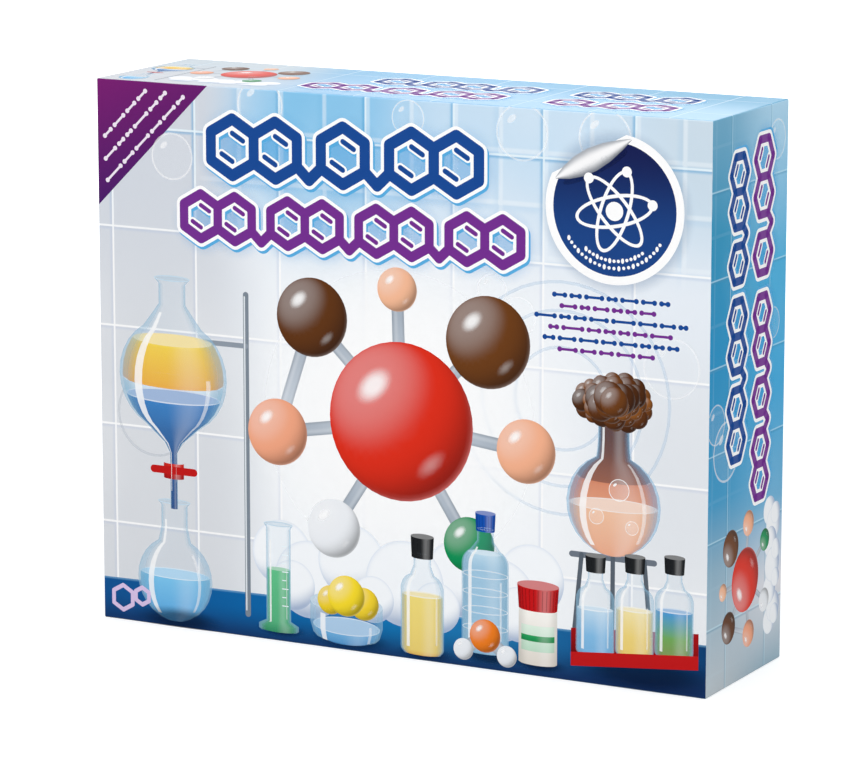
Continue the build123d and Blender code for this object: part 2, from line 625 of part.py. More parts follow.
# ---------------------------------------------------------------- flat balloons, one behind the other
for layer in range(balloon_count):
    with BuildPart() as balloon:
        with BuildSketch(facing(balloon_y + layer * (balloon_t + seat))):
            with Locations((balloon_x + (balloon_len / 2 - balloon_r), balloon_z)):
                Circle(balloon_r)
            with Locations((balloon_x - balloon_len / 2, balloon_z)):
                Rectangle(balloon_len / 2, balloon_neck, align=(Align.MIN, Align.CENTER))
            inside = vertices().group_by(Axis.X)[1]
            fillet(inside, radius=balloon_neck * 0.6)
        extrude(amount=-balloon_t)
        fillet(balloon.faces().filter_by(Axis.Y).edges(), radius=balloon_t * 0.35)
    save(balloon, f"balloon_{layer + 1}")

# ---------------------------------------------------------------- comb of indicator strips
with BuildPart() as indicator_strips:
    with BuildSketch(facing(strip_y)):
        with Locations((strip_x, strip_z)):
            Rectangle(strip_w, strip_h)
        slit_step = strip_w / strip_count
        with Locations((strip_x, strip_z - strip_head / 2)):
            with GridLocations(slit_step, 1, strip_count - 1, 1):
                Rectangle(strip_slit, strip_h - strip_head, mode=Mode.SUBTRACT)
    extrude(amount=-strip_t)
save(indicator_strips, "indicator_strips")

# ---------------------------------------------------------------- moulded insert, in sections
def cell(x, z, size):
    """Rounded rectangular pocket floor."""
    with Locations((x, z)):
        RectangleRounded(*size, min(pocket_corner, min(size) * 0.45))


def disc(x, z, radius):
    """Round pocket floor."""
    with Locations((x, z)):
        Circle(radius)


def flask_floor(x, z, size):
    """Outline of the flask on its side, with room above for the stopper to come out."""
    half, neck, top = size[0] / 2, stopper_top_r + flask_lip + fit, z + size[1]
    heel, shoulder = z + flask_r / 2, z + flask_h - flask_neck_h + flask_neck_r / 2
    Polygon((x - half, z), (x + half, z), (x + half, heel), (x + neck, shoulder), (x + neck, top),
            (x - neck, top), (x - neck, shoulder), (x - half, heel), align=None)
    fillet(vertices(), radius=pocket_corner)


barrel_channel = 2 * barrel_r + 2 * fit
stem_channel = 2 * stem_r + 2 * fit
bulb_room = bulb_len + 2 * fit
syringe_floor = syringe_y + flange_d / 2 + seat
pipette_floor = pipette_y + bulb_r + seat
syringe_side = syringe_x + barrel_channel / 2
pipette_side = pipette_x - stem_channel / 2

# Seams between the sections of the moulding, in the webs between the pockets.
edge_left, edge_right = -tray_w / 2, tray_w / 2
edge_low, edge_high = mid_z - tray_h / 2, mid_z + tray_h / 2
seam_pipette = middle - web_x / 2
seam_rods = left + goggles_cell[0] + web_x / 2
seam_beaker_side = beaker_right - beaker_cell[0] - web_x / 2
seam_flask = beaker_right + web_x / 2
straw_right, balloon_left = straw_x + straw_cell[0] / 2, balloon_x - balloon_cell[0] / 2
seam_straw = max(seam_beaker_side, (straw_right + balloon_left) / 2)
petri_top, goggles_low = petri_z + petri_cell_r, goggles_z - goggles_cell[1] / 2
seam_goggles = min(petri_top + web_z, (petri_top + goggles_low) / 2)
seam_petri = jar_z - fit + jar_cell[1] + web_z / 2
seam_tweezers = low + tweezers_cell[1] + web_z / 2
seam_beaker_top = low + beaker_cell[1] + web_z / 2
seam_rack = rack_z - fit - web_z

# Each section: its name, its areas (edges in X, then in Z), its pockets, and its finger wells, which
# reach from a piece into the web beside it. A pocket is the depth of its floor, its outline and place.
sections = [
    ("goggles", [(edge_left, seam_rods, seam_goggles, edge_high)],
     [(goggles_y + seat + strap_back + seat, cell, (goggles_x, goggles_z, goggles_cell))],
     [(goggles_x, goggles_z - goggles_h / 2)]),
    ("syringe", [(edge_left, seam_pipette, edge_low, seam_goggles)],
     [(syringe_floor, cell, (syringe_x, low + syringe_cell[1] / 2, (barrel_channel, syringe_cell[1]))),
      (syringe_floor, cell, (syringe_x, flange_z + flange_t / 2, (syringe_cell[0], flange_t + 2 * fit))),
      (pipette_floor, cell, (pipette_x, low + pipette_cell[1] / 2, (stem_channel, pipette_cell[1]))),
      (pipette_floor, cell, (pipette_x, low + pipette_cell[1] - bulb_room / 2, (pipette_cell[0], bulb_room)))],
     [((syringe_side + pipette_side) / 2, barrel_z + barrel_len / 3)]),
    ("petri", [(seam_pipette, seam_rods, seam_petri, seam_goggles)],
     [(petri_y + petri_total + seat, disc, (petri_x, petri_z, petri_cell_r))],
     [(petri_x + petri_cell_r, petri_z)]),
    ("jars", [(seam_pipette, seam_beaker_side, seam_tweezers, seam_petri)],
     [(jar_y + jar_cap_r + seat, cell, (middle + jar_cell[0] / 2, jar_z - fit + jar_cell[1] / 2, jar_cell)),
      (strip_y + strip_t + seat, cell, (strip_x, strip_z, strip_cell))],
     [(strip_x + strip_w / 2, strip_z)]),
    ("tweezers", [(seam_pipette, seam_beaker_side, edge_low, seam_tweezers)],
     [(tweezers_y + arm_w / 2 + seat, cell, (middle + tweezers_cell[0] / 2, tweezers_z, tweezers_cell))],
     [(tweezers_x + arm_len * 3 / 4, tweezers_z)]),
    ("rods", [(seam_rods, seam_straw, seam_petri, edge_high)],
     [(rod_y + rod_bead + seat, cell, (rod_x, rod_z - fit + rod_cell[1] / 2, rod_cell)),
      (straw_y + straw_r + seat, cell, (straw_x, straw_z - fit + straw_cell[1] / 2, straw_cell))],
     [((rod_x + straw_x) / 2, rod_z + rod_len / 2)]),
    ("rack", [(seam_straw, edge_right, seam_rack, edge_high)],
     [(rack_y + rack_d / 2 + seat, cell, (rack_x, rack_z - fit + rack_cell[1] / 2, rack_cell))],
     [(rack_x - rack_w / 2, rack_z + rack_cell[1] / 2)]),
    ("balloons", [(seam_beaker_side, seam_flask, seam_beaker_top, seam_petri),
                  (seam_straw, seam_flask, seam_petri, seam_rack)],
     [(balloon_y + balloon_count * (balloon_t + seat), cell, (balloon_x, balloon_z, balloon_cell))],
     []),
    ("beaker", [(seam_beaker_side, seam_flask, edge_low, seam_beaker_top)],
     [(beaker_y + beaker_r + rim_lip + seat, cell,
       (beaker_right - beaker_cell[0] / 2, low + beaker_cell[1] / 2, beaker_cell))],
     []),
    ("flask", [(seam_flask, edge_right, edge_low, seam_rack)],
     [(flask_y + flask_r + seat, flask_floor, (flask_x, low, flask_cell))],
     []),
]

skirt_depth = tray_back - tray_face
with BuildPart() as insert_blank:
    for shrink, mode in ((0, Mode.ADD), (sheet, Mode.SUBTRACT)):
        with BuildSketch(facing(tray_back)):
            with Locations((0, mid_z)):
                RectangleRounded(tray_w - 2 * shrink, tray_h - 2 * shrink, tray_corner - shrink)
        extrude(amount=skirt_depth - shrink, taper=draft / 2, mode=mode)

for section, areas, pockets, fingers in sections:
    with BuildPart() as insert_section:
        add(insert_blank.part)
        for grow, mode in ((sheet, Mode.ADD), (0, Mode.SUBTRACT)):
            for floor, outline, place in pockets:
                with BuildSketch(facing(floor + grow)):
                    outline(*place)
                    if grow:
                        offset(amount=grow, kind=Kind.ARC)
                extrude(amount=floor + grow - tray_face, taper=-draft, mode=mode)
            for finger_x, finger_z in fingers:
                with BuildSketch(facing(tray_face + finger_depth + grow)):
                    disc(finger_x, finger_z, finger_r + grow)
                extrude(amount=finger_depth + grow, taper=-draft, mode=mode)
            if grow:
                with BuildSketch(facing(case_back)):
                    for x_low, x_high, z_low, z_high in areas:
                        with Locations(((x_low + x_high) / 2, (z_low + z_high) / 2)):
                            Rectangle(x_high - x_low, z_high - z_low)
                extrude(amount=case_d, mode=Mode.INTERSECT)
    save(insert_section, f"insert_{section}_section")
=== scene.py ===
"""Looks of the chemistry set case: printed board, moulded insert and clear plastic laboratory ware."""
import math
import random

import bmesh
import bpy
from mathutils import Matrix, Vector, noise


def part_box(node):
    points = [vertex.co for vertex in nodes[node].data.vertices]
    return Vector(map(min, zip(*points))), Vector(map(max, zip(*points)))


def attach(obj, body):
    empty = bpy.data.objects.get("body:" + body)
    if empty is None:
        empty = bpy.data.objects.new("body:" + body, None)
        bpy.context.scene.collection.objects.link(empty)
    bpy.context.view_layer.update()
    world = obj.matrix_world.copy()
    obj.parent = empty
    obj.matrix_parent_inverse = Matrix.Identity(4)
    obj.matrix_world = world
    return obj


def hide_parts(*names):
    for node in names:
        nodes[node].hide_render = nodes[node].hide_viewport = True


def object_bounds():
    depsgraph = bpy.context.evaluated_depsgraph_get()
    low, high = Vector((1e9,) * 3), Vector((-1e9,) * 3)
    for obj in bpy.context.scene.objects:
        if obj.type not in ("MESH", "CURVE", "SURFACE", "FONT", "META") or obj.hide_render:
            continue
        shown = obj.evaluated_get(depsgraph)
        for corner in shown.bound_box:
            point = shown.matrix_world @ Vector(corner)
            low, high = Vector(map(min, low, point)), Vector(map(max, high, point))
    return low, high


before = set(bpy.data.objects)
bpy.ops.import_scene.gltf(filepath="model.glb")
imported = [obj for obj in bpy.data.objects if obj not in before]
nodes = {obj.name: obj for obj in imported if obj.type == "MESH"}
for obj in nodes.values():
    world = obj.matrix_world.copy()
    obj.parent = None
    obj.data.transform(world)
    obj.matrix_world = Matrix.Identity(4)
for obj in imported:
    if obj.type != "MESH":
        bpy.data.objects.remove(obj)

cad_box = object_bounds()
MM = 0.001

# ------------------------------------------------------------------ the box, in metres
LID_LOW, LID_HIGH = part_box("lid_shell")
HALF_W = LID_HIGH.x
CASE_W = 2 * HALF_W
FRONT, LID_RIM = LID_LOW.y, LID_HIGH.y
TOP = LID_HIGH.z
BACK = cad_box[1].y
BOARD = 1.8 * MM
PRINT_STEP = 0.004 * MM       # one layer of ink above the next
TURN_IN = 16 * MM             # printed paper turned over the rim
BENCH_TOP = 22 * MM           # at the left; it rises a little to the right
TRIANGLE = 65 * MM            # legs of the purple corner


# ------------------------------------------------------------------ colours
def rgb(code, strength=1.0):
    """Linear colour of a #rrggbb code."""
    parts = [int(code[i:i + 2], 16) / 255 for i in (1, 3, 5)]
    line = [c / 12.92 if c <= 0.04045 else ((c + 0.055) / 1.055) ** 2.4 for c in parts]
    return (*[c * strength for c in line], 1.0)


def between(a, b, t):
    """Colour part of the way from a to b."""
    return tuple(p + (q - p) * t for p, q in zip(a, b))


def ease(low, high, value):
    """0 below low, 1 above high, eased between; low may be the larger."""
    t = min(max((value - low) / (high - low), 0.0), 1.0)
    return t * t * (3 - 2 * t)


WHITE, INK_BLUE, INK_PURPLE = rgb("#ffffff"), rgb("#1b4a94"), rgb("#74318f")


# ------------------------------------------------------------------ shader values
class Signal:
    """A number or colour that changes over a surface. Arithmetic on it adds Math nodes."""

    def __init__(self, finish, socket):
        self.finish, self.socket = finish, socket

    def __add__(self, other): return self.finish.math("ADD", self, other)
    def __radd__(self, other): return self.finish.math("ADD", other, self)
    def __sub__(self, other): return self.finish.math("SUBTRACT", self, other)
    def __rsub__(self, other): return self.finish.math("SUBTRACT", other, self)
    def __mul__(self, other): return self.finish.math("MULTIPLY", self, other)
    def __rmul__(self, other): return self.finish.math("MULTIPLY", other, self)
    def __truediv__(self, other): return self.finish.math("DIVIDE", self, other)
    def __lt__(self, other): return self.finish.math("LESS_THAN", self, other)
    def __gt__(self, other): return self.finish.math("GREATER_THAN", self, other)

    def fade(self, low, high):
        """0 below low, 1 above high, eased between; low may be the larger."""
        return self.finish.add("ShaderNodeMapRange", {"interpolation_type": "SMOOTHSTEP"}, "Result",
                               Value=self, From_Min=low, From_Max=high)


class Finish:
    """A material with one Principled shader, and short ways to add nodes to it."""

    def __init__(self, name, colour=(0.8, 0.8, 0.8, 1), rough=0.4, **more):
        self.material = bpy.data.materials.new(name)
        self.material.use_nodes = True
        self.tree = self.material.node_tree
        self.shader = next(n for n in self.tree.nodes if n.type == "BSDF_PRINCIPLED")
        self.set(Base_Color=colour, Roughness=rough, **more)

    def feed(self, socket, value):
        if isinstance(value, Signal):
            self.tree.links.new(value.socket, socket)
        else:
            socket.default_value = value

    def set(self, **values):
        for name, value in values.items():
            self.feed(self.shader.inputs[name.replace("_", " ")], value)

    def add(self, kind, settings=None, output=0, **values):
        """A node with its settings made first, then its sockets; returns one output as a Signal."""
        node = self.tree.nodes.new(kind)
        for name, value in (settings or {}).items():
            if name == "stops":
                ramp = node.color_ramp.elements
                for place, colour in value[1:-1]:
                    ramp.new(place).color = colour
                ramp[0].position, ramp[0].color = value[0]
                ramp[-1].position, ramp[-1].color = value[-1]
            else:
                setattr(node, name, value)
        for name, value in values.items():
            key = int(name[1:]) if name[0] == "i" and name[1:].isdigit() else name.replace("_", " ")
            self.feed(node.inputs[key], value)
        return Signal(self, node.outputs[output])

    def math(self, operation, *parts):
        return self.add("ShaderNodeMath", {"operation": operation}, **{f"i{i}": p for i, p in enumerate(parts)})

    def mix(self, amount, a, b, blend="MIX"):
        return self.add("ShaderNodeMix", {"data_type": "RGBA", "blend_type": blend, "clamp_factor": True}, 2,
                        i0=amount, i6=a, i7=b)

    def place(self):
        """X, Y and Z of the point, in metres, as three Signals."""
        point = self.add("ShaderNodeTexCoord", output="Object")
        split = self.add("ShaderNodeSeparateXYZ", Vector=point).socket.node
        return [Signal(self, split.outputs[i]) for i in range(3)]

    def noise(self, scale, detail=3.0, rough=0.5, stretch=None):
        point = self.add("ShaderNodeTexCoord", output="Object")
        if stretch:
            point = self.add("ShaderNodeMapping", Vector=point, Scale=stretch)
        return self.add("ShaderNodeTexNoise", None, "Fac", Vector=point, Scale=scale, Detail=detail, Roughness=rough)

    def bump(self, height, strength=0.2, distance=0.0002):
        self.set(Normal=self.add("ShaderNodeBump", None, "Normal", Height=height, Strength=strength,
                                 Distance=distance))
        return self


# ------------------------------------------------------------------ stage, light and camera
def studio():
    floor = bpy.data.meshes.new("floor")
    bm = bmesh.new()
    bmesh.ops.create_grid(bm, x_segments=1, y_segments=1, size=6.0)
    bm.to_mesh(floor)
    floor_piece = bpy.data.objects.new("studio_floor", floor)
    bpy.context.scene.collection.objects.link(floor_piece)
    paper = Finish("studio_paper", (0.62, 0.62, 0.62, 1), 0.9, Specular_IOR_Level=0.0)
    path = paper.add("ShaderNodeLightPath").socket.node
    rays = [Signal(paper, path.outputs[name]) for name in
            ("Is Camera Ray", "Is Glossy Ray", "Is Transmission Ray")]
    seen = paper.math("MINIMUM", rays[0] + rays[1] + rays[2], 1.0)
    x, y, _ = paper.place()
    away = paper.math("SQRT", x * x + y * y).fade(0.35, 1.6)
    paper.set(Emission_Color=paper.mix(seen * (0.55 + away * 0.45), (0, 0, 0, 1), (1, 1, 1, 1)), Emission_Strength=1.0)
    floor.materials.append(paper.material)

    world = bpy.data.worlds.new("studio_world")
    bpy.context.scene.world = world
    world.use_nodes = True
    tree = world.node_tree
    light_path = tree.nodes.new("ShaderNodeLightPath")
    sky = tree.nodes["Background"]
    sky.inputs["Color"].default_value = (1, 1, 1, 1)
    rays = [light_path.outputs[name] for name in ("Is Camera Ray", "Is Glossy Ray", "Is Transmission Ray")]
    total = None
    for ray in rays:
        add = tree.nodes.new("ShaderNodeMath")
        add.use_clamp = True
        tree.links.new(ray, add.inputs[0])
        add.inputs[1].default_value = 0.0
        if total:
            tree.links.new(total, add.inputs[1])
        total = add.outputs[0]
    level = tree.nodes.new("ShaderNodeMapRange")
    level.inputs["To Min"].default_value = 0.6
    level.inputs["To Max"].default_value = 1.0
    tree.links.new(total, level.inputs["Value"])
    tree.links.new(level.outputs[0], sky.inputs["Strength"])

    for name, spot, size, power in (
            ("key", (-1.3, -2.4, 2.2), 1.6, 36.0),
            ("fill", (2.2, -1.6, 1.5), 1.8, 24.0),
            ("top", (0.1, 0.4, 2.6), 1.6, 11.0),
            ("back", (-0.6, 2.6, 1.4), 1.8, 13.0)):
        lamp = bpy.data.lights.new(name, "AREA")
        lamp.size, lamp.energy = size, power
        holder = bpy.data.objects.new(name, lamp)
        holder.location = spot
        aim = Vector((0, 0, TOP / 2)) - Vector(spot)
        holder.rotation_euler = aim.to_track_quat("-Z", "Y").to_euler()
        bpy.context.scene.collection.objects.link(holder)


def photo_camera():
    """Camera fitted to the corners of the box in the photograph, with no shift."""
    lens = bpy.data.cameras.new("photo")
    lens.sensor_width, lens.lens = 36.0, 183.2
    lens.clip_start, lens.clip_end = 0.05, 50.0
    holder = bpy.data.objects.new("photo_camera", lens)
    holder.location = (0.9913, -1.8811, 0.5568)
    holder.rotation_euler = (math.pi / 2 - 0.1978, 0.0, 0.4877)
    bpy.context.scene.collection.objects.link(holder)
    bpy.context.scene.camera = holder


# ------------------------------------------------------------------ printed board
def along(value, start, end):
    """Share of the way from start to end, both in millimetres."""
    return value.fade(start * MM, end * MM)


def tile_joints(f, across, up, pitch, phase, width):
    """Light line, and the shaded line beside it, at the joints of a tiled wall; sizes in millimetres."""
    light, shaded = 0.0, 0.0
    for where, step, start in zip((across, up), pitch, phase):
        turn = f.math("FRACT", (where - start * MM) / (step * MM)) * step
        light = f.math("MAXIMUM", light, turn.fade(width, width * 0.6) * turn.fade(0.0, width * 0.3))
        shaded = f.math("MAXIMUM", shaded, turn.fade(step - width * 1.3, step - width * 0.2))
    return light, shaded


def front_print(f, x, z):
    """Tiled wall with a sky glow along the top, a bench below and a purple corner."""
    u, soft = x + HALF_W, f.noise(9.0, 2.0)
    top, right = along(z, 190, 262), along(u, 205, 250)
    left = along(u, 108, 60)
    wall = f.mix(along(z, 40, 230), rgb("#e5e9ee"), rgb("#e8eff7"))
    middle = along(u, 70, 120) * along(u, 330, 230) * along(z, 225, 165)
    wall = f.mix(middle, wall, rgb("#f6f9fc"))
    wall = f.mix(left * 0.8, wall, f.mix(along(z, 130, 250), rgb("#d6d9de"), rgb("#ccd1da")))
    wall = f.mix(along(u, 255, 325) * along(z, 190, 120) * 0.8, wall, rgb("#e2e6eb"))
    glow_x, glow_z = (u - 0.128) / 0.062, (z - 0.262) / 0.075
    glow = f.math("SQRT", glow_x * glow_x + glow_z * glow_z).fade(1.15, 0.1)
    wall = f.mix(top * (1.0 - left) * 0.95, wall, f.mix(along(u, 150, 215), rgb("#a9d3f1"), rgb("#c3def3")))
    wall = f.mix(top * along(u, 270, 335) * 0.8, wall, rgb("#ccdbe6"))
    wall = f.mix(glow * 0.85, wall, rgb("#79c0e9"))
    wall = f.mix(soft.fade(0.45, 0.75) * 0.25, wall, rgb("#ffffff"))

    panel, panel_edge = tile_joints(f, u, z, (24.3, 25.5), (8.5, 2.4), 3.2)
    panels = along(z, 196, 215) * along(u, 55, 75)
    wall = f.mix(panel * panels * 0.38, wall, rgb("#f4fafe"))
    wall = f.mix(panel_edge * panels * 0.12, wall, rgb("#5fb0df"))
    light, shaded = tile_joints(f, u, z, (48.6, 51.2), (8.0, 51.0), 1.5)
    wall = f.mix(shaded * (0.28 + top * 0.3), wall, f.mix(top, rgb("#b4c0dc"), rgb("#5aa7d6")))
    wall = f.mix(light * 0.9, wall, f.mix(top, rgb("#ffffff"), rgb("#e8f6fd")))

    bench_edge = z - BENCH_TOP - u * 0.014
    lit = f.add("ShaderNodeValToRGB", {"stops": [(0.0, rgb("#12518f")), (0.3, rgb("#0d66a8")), (0.5, rgb("#1374b2")),
                                                 (0.68, rgb("#2376ae")), (0.85, rgb("#12508a")),
                                                 (1.0, rgb("#0e3f70"))]}, Fac=u / CASE_W)
    bench = f.mix(bench_edge.fade(-27 * MM, -6 * MM), rgb("#16305f"), lit)
    bench = f.mix(bench_edge.fade(-1.4 * MM, -0.3 * MM) * 0.5, bench, rgb("#7fb8dc"))
    wall = f.mix(bench_edge < 0.0, wall, bench)
    corner = (u + (TOP - z)) < TRIANGLE
    purple = f.mix((TOP - z + u * 0.4) / TRIANGLE, rgb("#78206f"), rgb("#481c66"))
    return f.mix(corner, wall, purple)


def side_print(f, depth, height):
    """Long blue wall, deeper near the front edge, above a pale lower part."""
    near = f.add("ShaderNodeValToRGB", {"stops": [(0.0, rgb("#c3ccd2")), (0.22, rgb("#8fb3c8")),
                                                  (0.34, rgb("#3a99c8")), (0.6, rgb("#0a8fc4")),
                                                  (0.8, rgb("#2292bd")), (1.0, rgb("#6aa8c8"))]}, Fac=height / TOP)
    far = f.add("ShaderNodeValToRGB", {"stops": [(0.0, rgb("#9bb8c8")), (0.15, rgb("#e4e3e8")),
                                                 (0.3, rgb("#6fb2d8")), (0.5, rgb("#3aa8dc")),
                                                 (0.72, rgb("#46b0de")), (1.0, rgb("#b0d8f0"))]}, Fac=height / TOP)
    wall = f.mix(along(depth, 8, 78), near, far)
    cloud = f.noise(14.0, 3.0)
    wall = f.mix(cloud.fade(0.5, 0.75) * 0.06, wall, rgb("#bfe4f5"))
    panel, _ = tile_joints(f, depth, height, (21.0, 21.4), (3.0, 9.0), 2.4)
    wall = f.mix(panel * along(depth, 62, 8) * 0.06, wall, rgb("#cdebf7"))
    light, shaded = tile_joints(f, depth, height, (47.0, 42.4), (22.0, 33.0), 1.1)
    wall = f.mix(shaded * 0.35, wall, rgb("#1f7fa8"))
    return f.mix(light * 0.5, wall, rgb("#c9ecf8"))


def top_print(f, depth, u):
    """Light blue wall on the long narrow faces, deeper towards the back."""
    near = f.mix(along(u, 60, 130), rgb("#cfd3da"), f.mix(along(u, 170, 330), rgb("#95c3e6"), rgb("#a0cbe6")))
    far = f.mix(along(u, 60, 110), rgb("#c6d2db"), f.mix(along(u, 170, 335), rgb("#74b2d9"), rgb("#4f9fc6")))
    wall = f.mix(along(depth, 20, 82), near, far)
    wall = f.mix(f.noise(14.0, 3.0).fade(0.5, 0.75) * 0.25, wall, rgb("#d8eefa"))
    light, shaded = tile_joints(f, u, depth, (42.4, 47.0), (20.0, 22.0), 1.1)
    wall = f.mix(shaded * 0.25, wall, rgb("#5aa6cd"))
    return f.mix(light * 0.5, wall, rgb("#edf8fd"))


def printed_board():
    f = Finish("printed_board", rough=0.34, Specular_IOR_Level=0.03)
    x, y, z = f.place()

    # the nearest outer face decides which print a point belongs to
    ends = f.math("MINIMUM", HALF_W - x, x + HALF_W)
    long_edges = f.math("MINIMUM", TOP - z, z)
    side = f.math("MINIMUM", ends, long_edges)
    depth = y - FRONT
    on_front, on_long_edge = depth < side, long_edges < ends
    inside = f.math("MINIMUM", depth, side) > 0.75 * BOARD

    walls = f.mix(on_long_edge, side_print(f, depth, z), top_print(f, depth, x + HALF_W))
    outer = f.mix(on_front, walls, front_print(f, x, z))
    lining = f.mix(f.noise(9.0, 2.0).fade(0.2, 0.8), rgb("#e9e9e6"), rgb("#f3f3f0"))
    colour = f.mix(inside, outer, f.mix((LID_RIM - y) < TURN_IN, lining, walls))

    # rubbed edges: the paper shows white through the varnish
    rubbed = f.math("MAXIMUM", depth, side).fade(0.7 * MM, 0.1 * MM) * f.noise(60.0, 4.0).fade(0.5, 0.72)
    colour = f.mix(rubbed * 0.4, colour, rgb("#f2f2ee"))
    f.set(Base_Color=colour, Roughness=0.32 + rubbed * 0.3 + inside * 0.35)
    f.bump(f.noise(900.0, 2.0) + f.noise(35.0, 2.0) * 0.8, 0.12, 0.0001)
    return f.material


def plain_board():
    """Base of the box: white lined board, with the pale blue outer paper round its rim and back."""
    f = Finish("white_board", rough=0.6)
    x, y, z = f.place()
    low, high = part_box("base_shell")
    to_side = f.math("MINIMUM", f.math("MINIMUM", high.x - x, x - low.x), f.math("MINIMUM", high.z - z, z - low.z))
    to_back = high.y - y
    outside = f.math("MINIMUM", to_side, to_back) < 0.75 * BOARD
    band = (y - low.y) < TURN_IN
    soft = f.noise(12.0, 3.0)
    turn_a = f.math("FRACT", (x + HALF_W) / (45.0 * MM))
    turn_b = f.math("FRACT", (z + 5 * MM) / (45.0 * MM))
    joint = f.math("MAXIMUM", (turn_a * 45.0).fade(0.9, 0.3), (turn_b * 45.0).fade(0.9, 0.3))
    paper = f.mix(soft.fade(0.3, 0.7), rgb("#a9d4ea"), rgb("#bfe0f1"))
    paper = f.mix(joint * 0.6, paper, rgb("#7db9d8"))
    lining = f.mix(soft.fade(0.2, 0.8), rgb("#ecebe8"), rgb("#f5f4f1"))
    printed = f.math("MAXIMUM", outside, band)
    f.set(Base_Color=f.mix(printed, lining, paper), Roughness=0.62 - printed * 0.22 + soft * 0.05)
    f.bump(f.noise(700.0, 3.0), 0.12, 0.0001)
    return f.material


# ------------------------------------------------------------------ plastics, rubber and paper
def moulded(name, colour, rough=0.3, grain=0.15, deep=None, **more):
    """Opaque moulded plastic with slight mottling and a fine skin."""
    f = Finish(name, colour, rough, **more)
    cloud = f.noise(45.0, 3.0)
    f.set(Base_Color=f.mix(cloud.fade(0.3, 0.75), deep or tuple(c * 0.88 for c in colour[:3]) + (1,), colour),
          Roughness=rough + cloud * 0.08)
    f.bump(f.noise(420.0, 2.0) + f.noise(60.0, 1.0) * 0.5, grain, 0.0001)
    return f.material


def clear(name, tint, rough=0.04, clarity=0.94, grain=0.05):
    """Clear moulded plastic: light passes, with faint flow lines."""
    f = Finish(name, tint, rough, Transmission_Weight=clarity, IOR=1.46, Alpha=0.7)
    flow = f.noise(18.0, 2.0, stretch=(1.0, 1.0, 0.25))
    f.set(Base_Color=f.mix(flow, tint, between(tint, WHITE, 0.5)), Roughness=rough + flow * 0.05)
    f.bump(flow, grain, 0.0002)
    return f.material


def with_scale(node, tint, side, reach, start, stop, step, rough=0.04, clarity=0.94):
    """Clear plastic with graduation lines printed on its front; sizes in millimetres."""
    f = Finish(f"{node}_clear", tint, rough, Transmission_Weight=clarity, IOR=1.46)
    low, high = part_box(node)
    x, y, z = f.place()
    off, rise = x - ((low.x + high.x) / 2 + side * MM), z - (low.z + start * MM)

    def line(pitch):
        return f.math("FRACT", rise / (pitch * MM) + 0.5 / pitch * 0.45) * pitch < 0.45
    length = (0.55 + 0.45 * line(step * 5)) * reach * MM
    on_scale = (rise > -0.3 * MM) * (rise < (stop - start) * MM) * (off > 0.0) * (off < length)
    marks = on_scale * line(step) * (y < (low.y + high.y) / 2)
    flow = f.noise(18.0, 2.0, stretch=(1.0, 1.0, 0.25))
    body = f.mix(flow, tint, between(tint, WHITE, 0.5))
    f.set(Base_Color=f.mix(marks, body, rgb("#12161c")), Roughness=rough + flow * 0.05 + marks * 0.4,
          Alpha=0.5 + marks * 0.5)
    f.bump(flow, 0.05, 0.0002)
    return f.material


def striped_straw():
    """White straw with one green stripe down its front."""
    f = Finish("straw_plastic", rough=0.25)
    low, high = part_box("drinking_straw")
    x, y, _ = f.place()
    stripe = (f.math("ABSOLUTE", x - (low.x + high.x) / 2) < 0.7 * MM) * (y < (low.y + high.y) / 2)
    white = f.mix(f.noise(60.0), rgb("#eef2ec"), rgb("#f8faf6"))
    f.set(Base_Color=f.mix(stripe, white, rgb("#43a35a")))
    return f.bump(f.noise(300.0), 0.05).material


def test_paper():
    """Comb of paper strips: plain head, white strips, each with an orange pad at its lower end."""
    f = Finish("indicator_paper", rough=0.8)
    low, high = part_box("indicator_strips")
    _, _, z = f.place()
    paper = f.mix(f.noise(90.0), rgb("#efece2"), rgb("#f8f6ee"))
    pads = f.mix(f.noise(120.0), rgb("#e3a436"), rgb("#efb84e"))
    colour = f.mix((z < low.z + 9 * MM) * 1.0, paper, pads)
    f.set(Base_Color=f.mix(z > high.z - 12 * MM, colour, f.mix(f.noise(50.0), rgb("#e8e9ec"), rgb("#f1f2f4"))))
    return f.bump(f.noise(700.0), 0.3).material


def woven_elastic():
    """Ribbed elastic webbing, marked with the distance along it."""
    f = Finish("elastic", rough=0.8, Sheen_Weight=0.2)
    _, _, z = f.place()
    run = f.add("ShaderNodeAttribute", {"attribute_name": "mark"}, "Fac")
    rib = f.math("SINE", z * (math.tau / 0.0011))
    pick = f.math("SINE", run * (math.tau / 0.0009))
    weave = f.math("MAXIMUM", rib, pick * 0.8)
    shade = f.mix(f.noise(40.0), rgb("#dfddd7"), rgb("#efeee9"))
    # painted shade in the grooves of the weave: where ribs and picks run low, the yarn colour goes darker
    f.set(Base_Color=f.mix(weave.fade(-0.6, 0.5), rgb("#b9b7b0"), shade))
    return f.bump(weave, 0.6, 0.0003).material


def latex():
    """Balloon rubber with a dusting of powder, and painted shade: darker in its folds and along its sides, where it is
    marked low.
    """
    f = Finish("red_rubber", rough=0.4)
    dust = f.noise(120.0, 4.0).fade(0.5, 0.85)
    # painted shade: the rubber colour goes dark where the mark is low, in the folds and at the sides, with a little
    # random tone from noise
    relief = f.add("ShaderNodeAttribute", {"attribute_name": "mark"}, "Fac") + f.noise(90.0) * 0.2
    rubber = f.mix(relief.fade(0.2, 0.95), rgb("#8f1510"), rgb("#e03c2a"))
    f.set(Base_Color=f.mix(dust * 0.14, rubber, rgb("#e9a79c")), Roughness=0.34 + dust * 0.25)
    return f.bump(f.noise(150.0, 4.0), 0.8, 0.0012).material


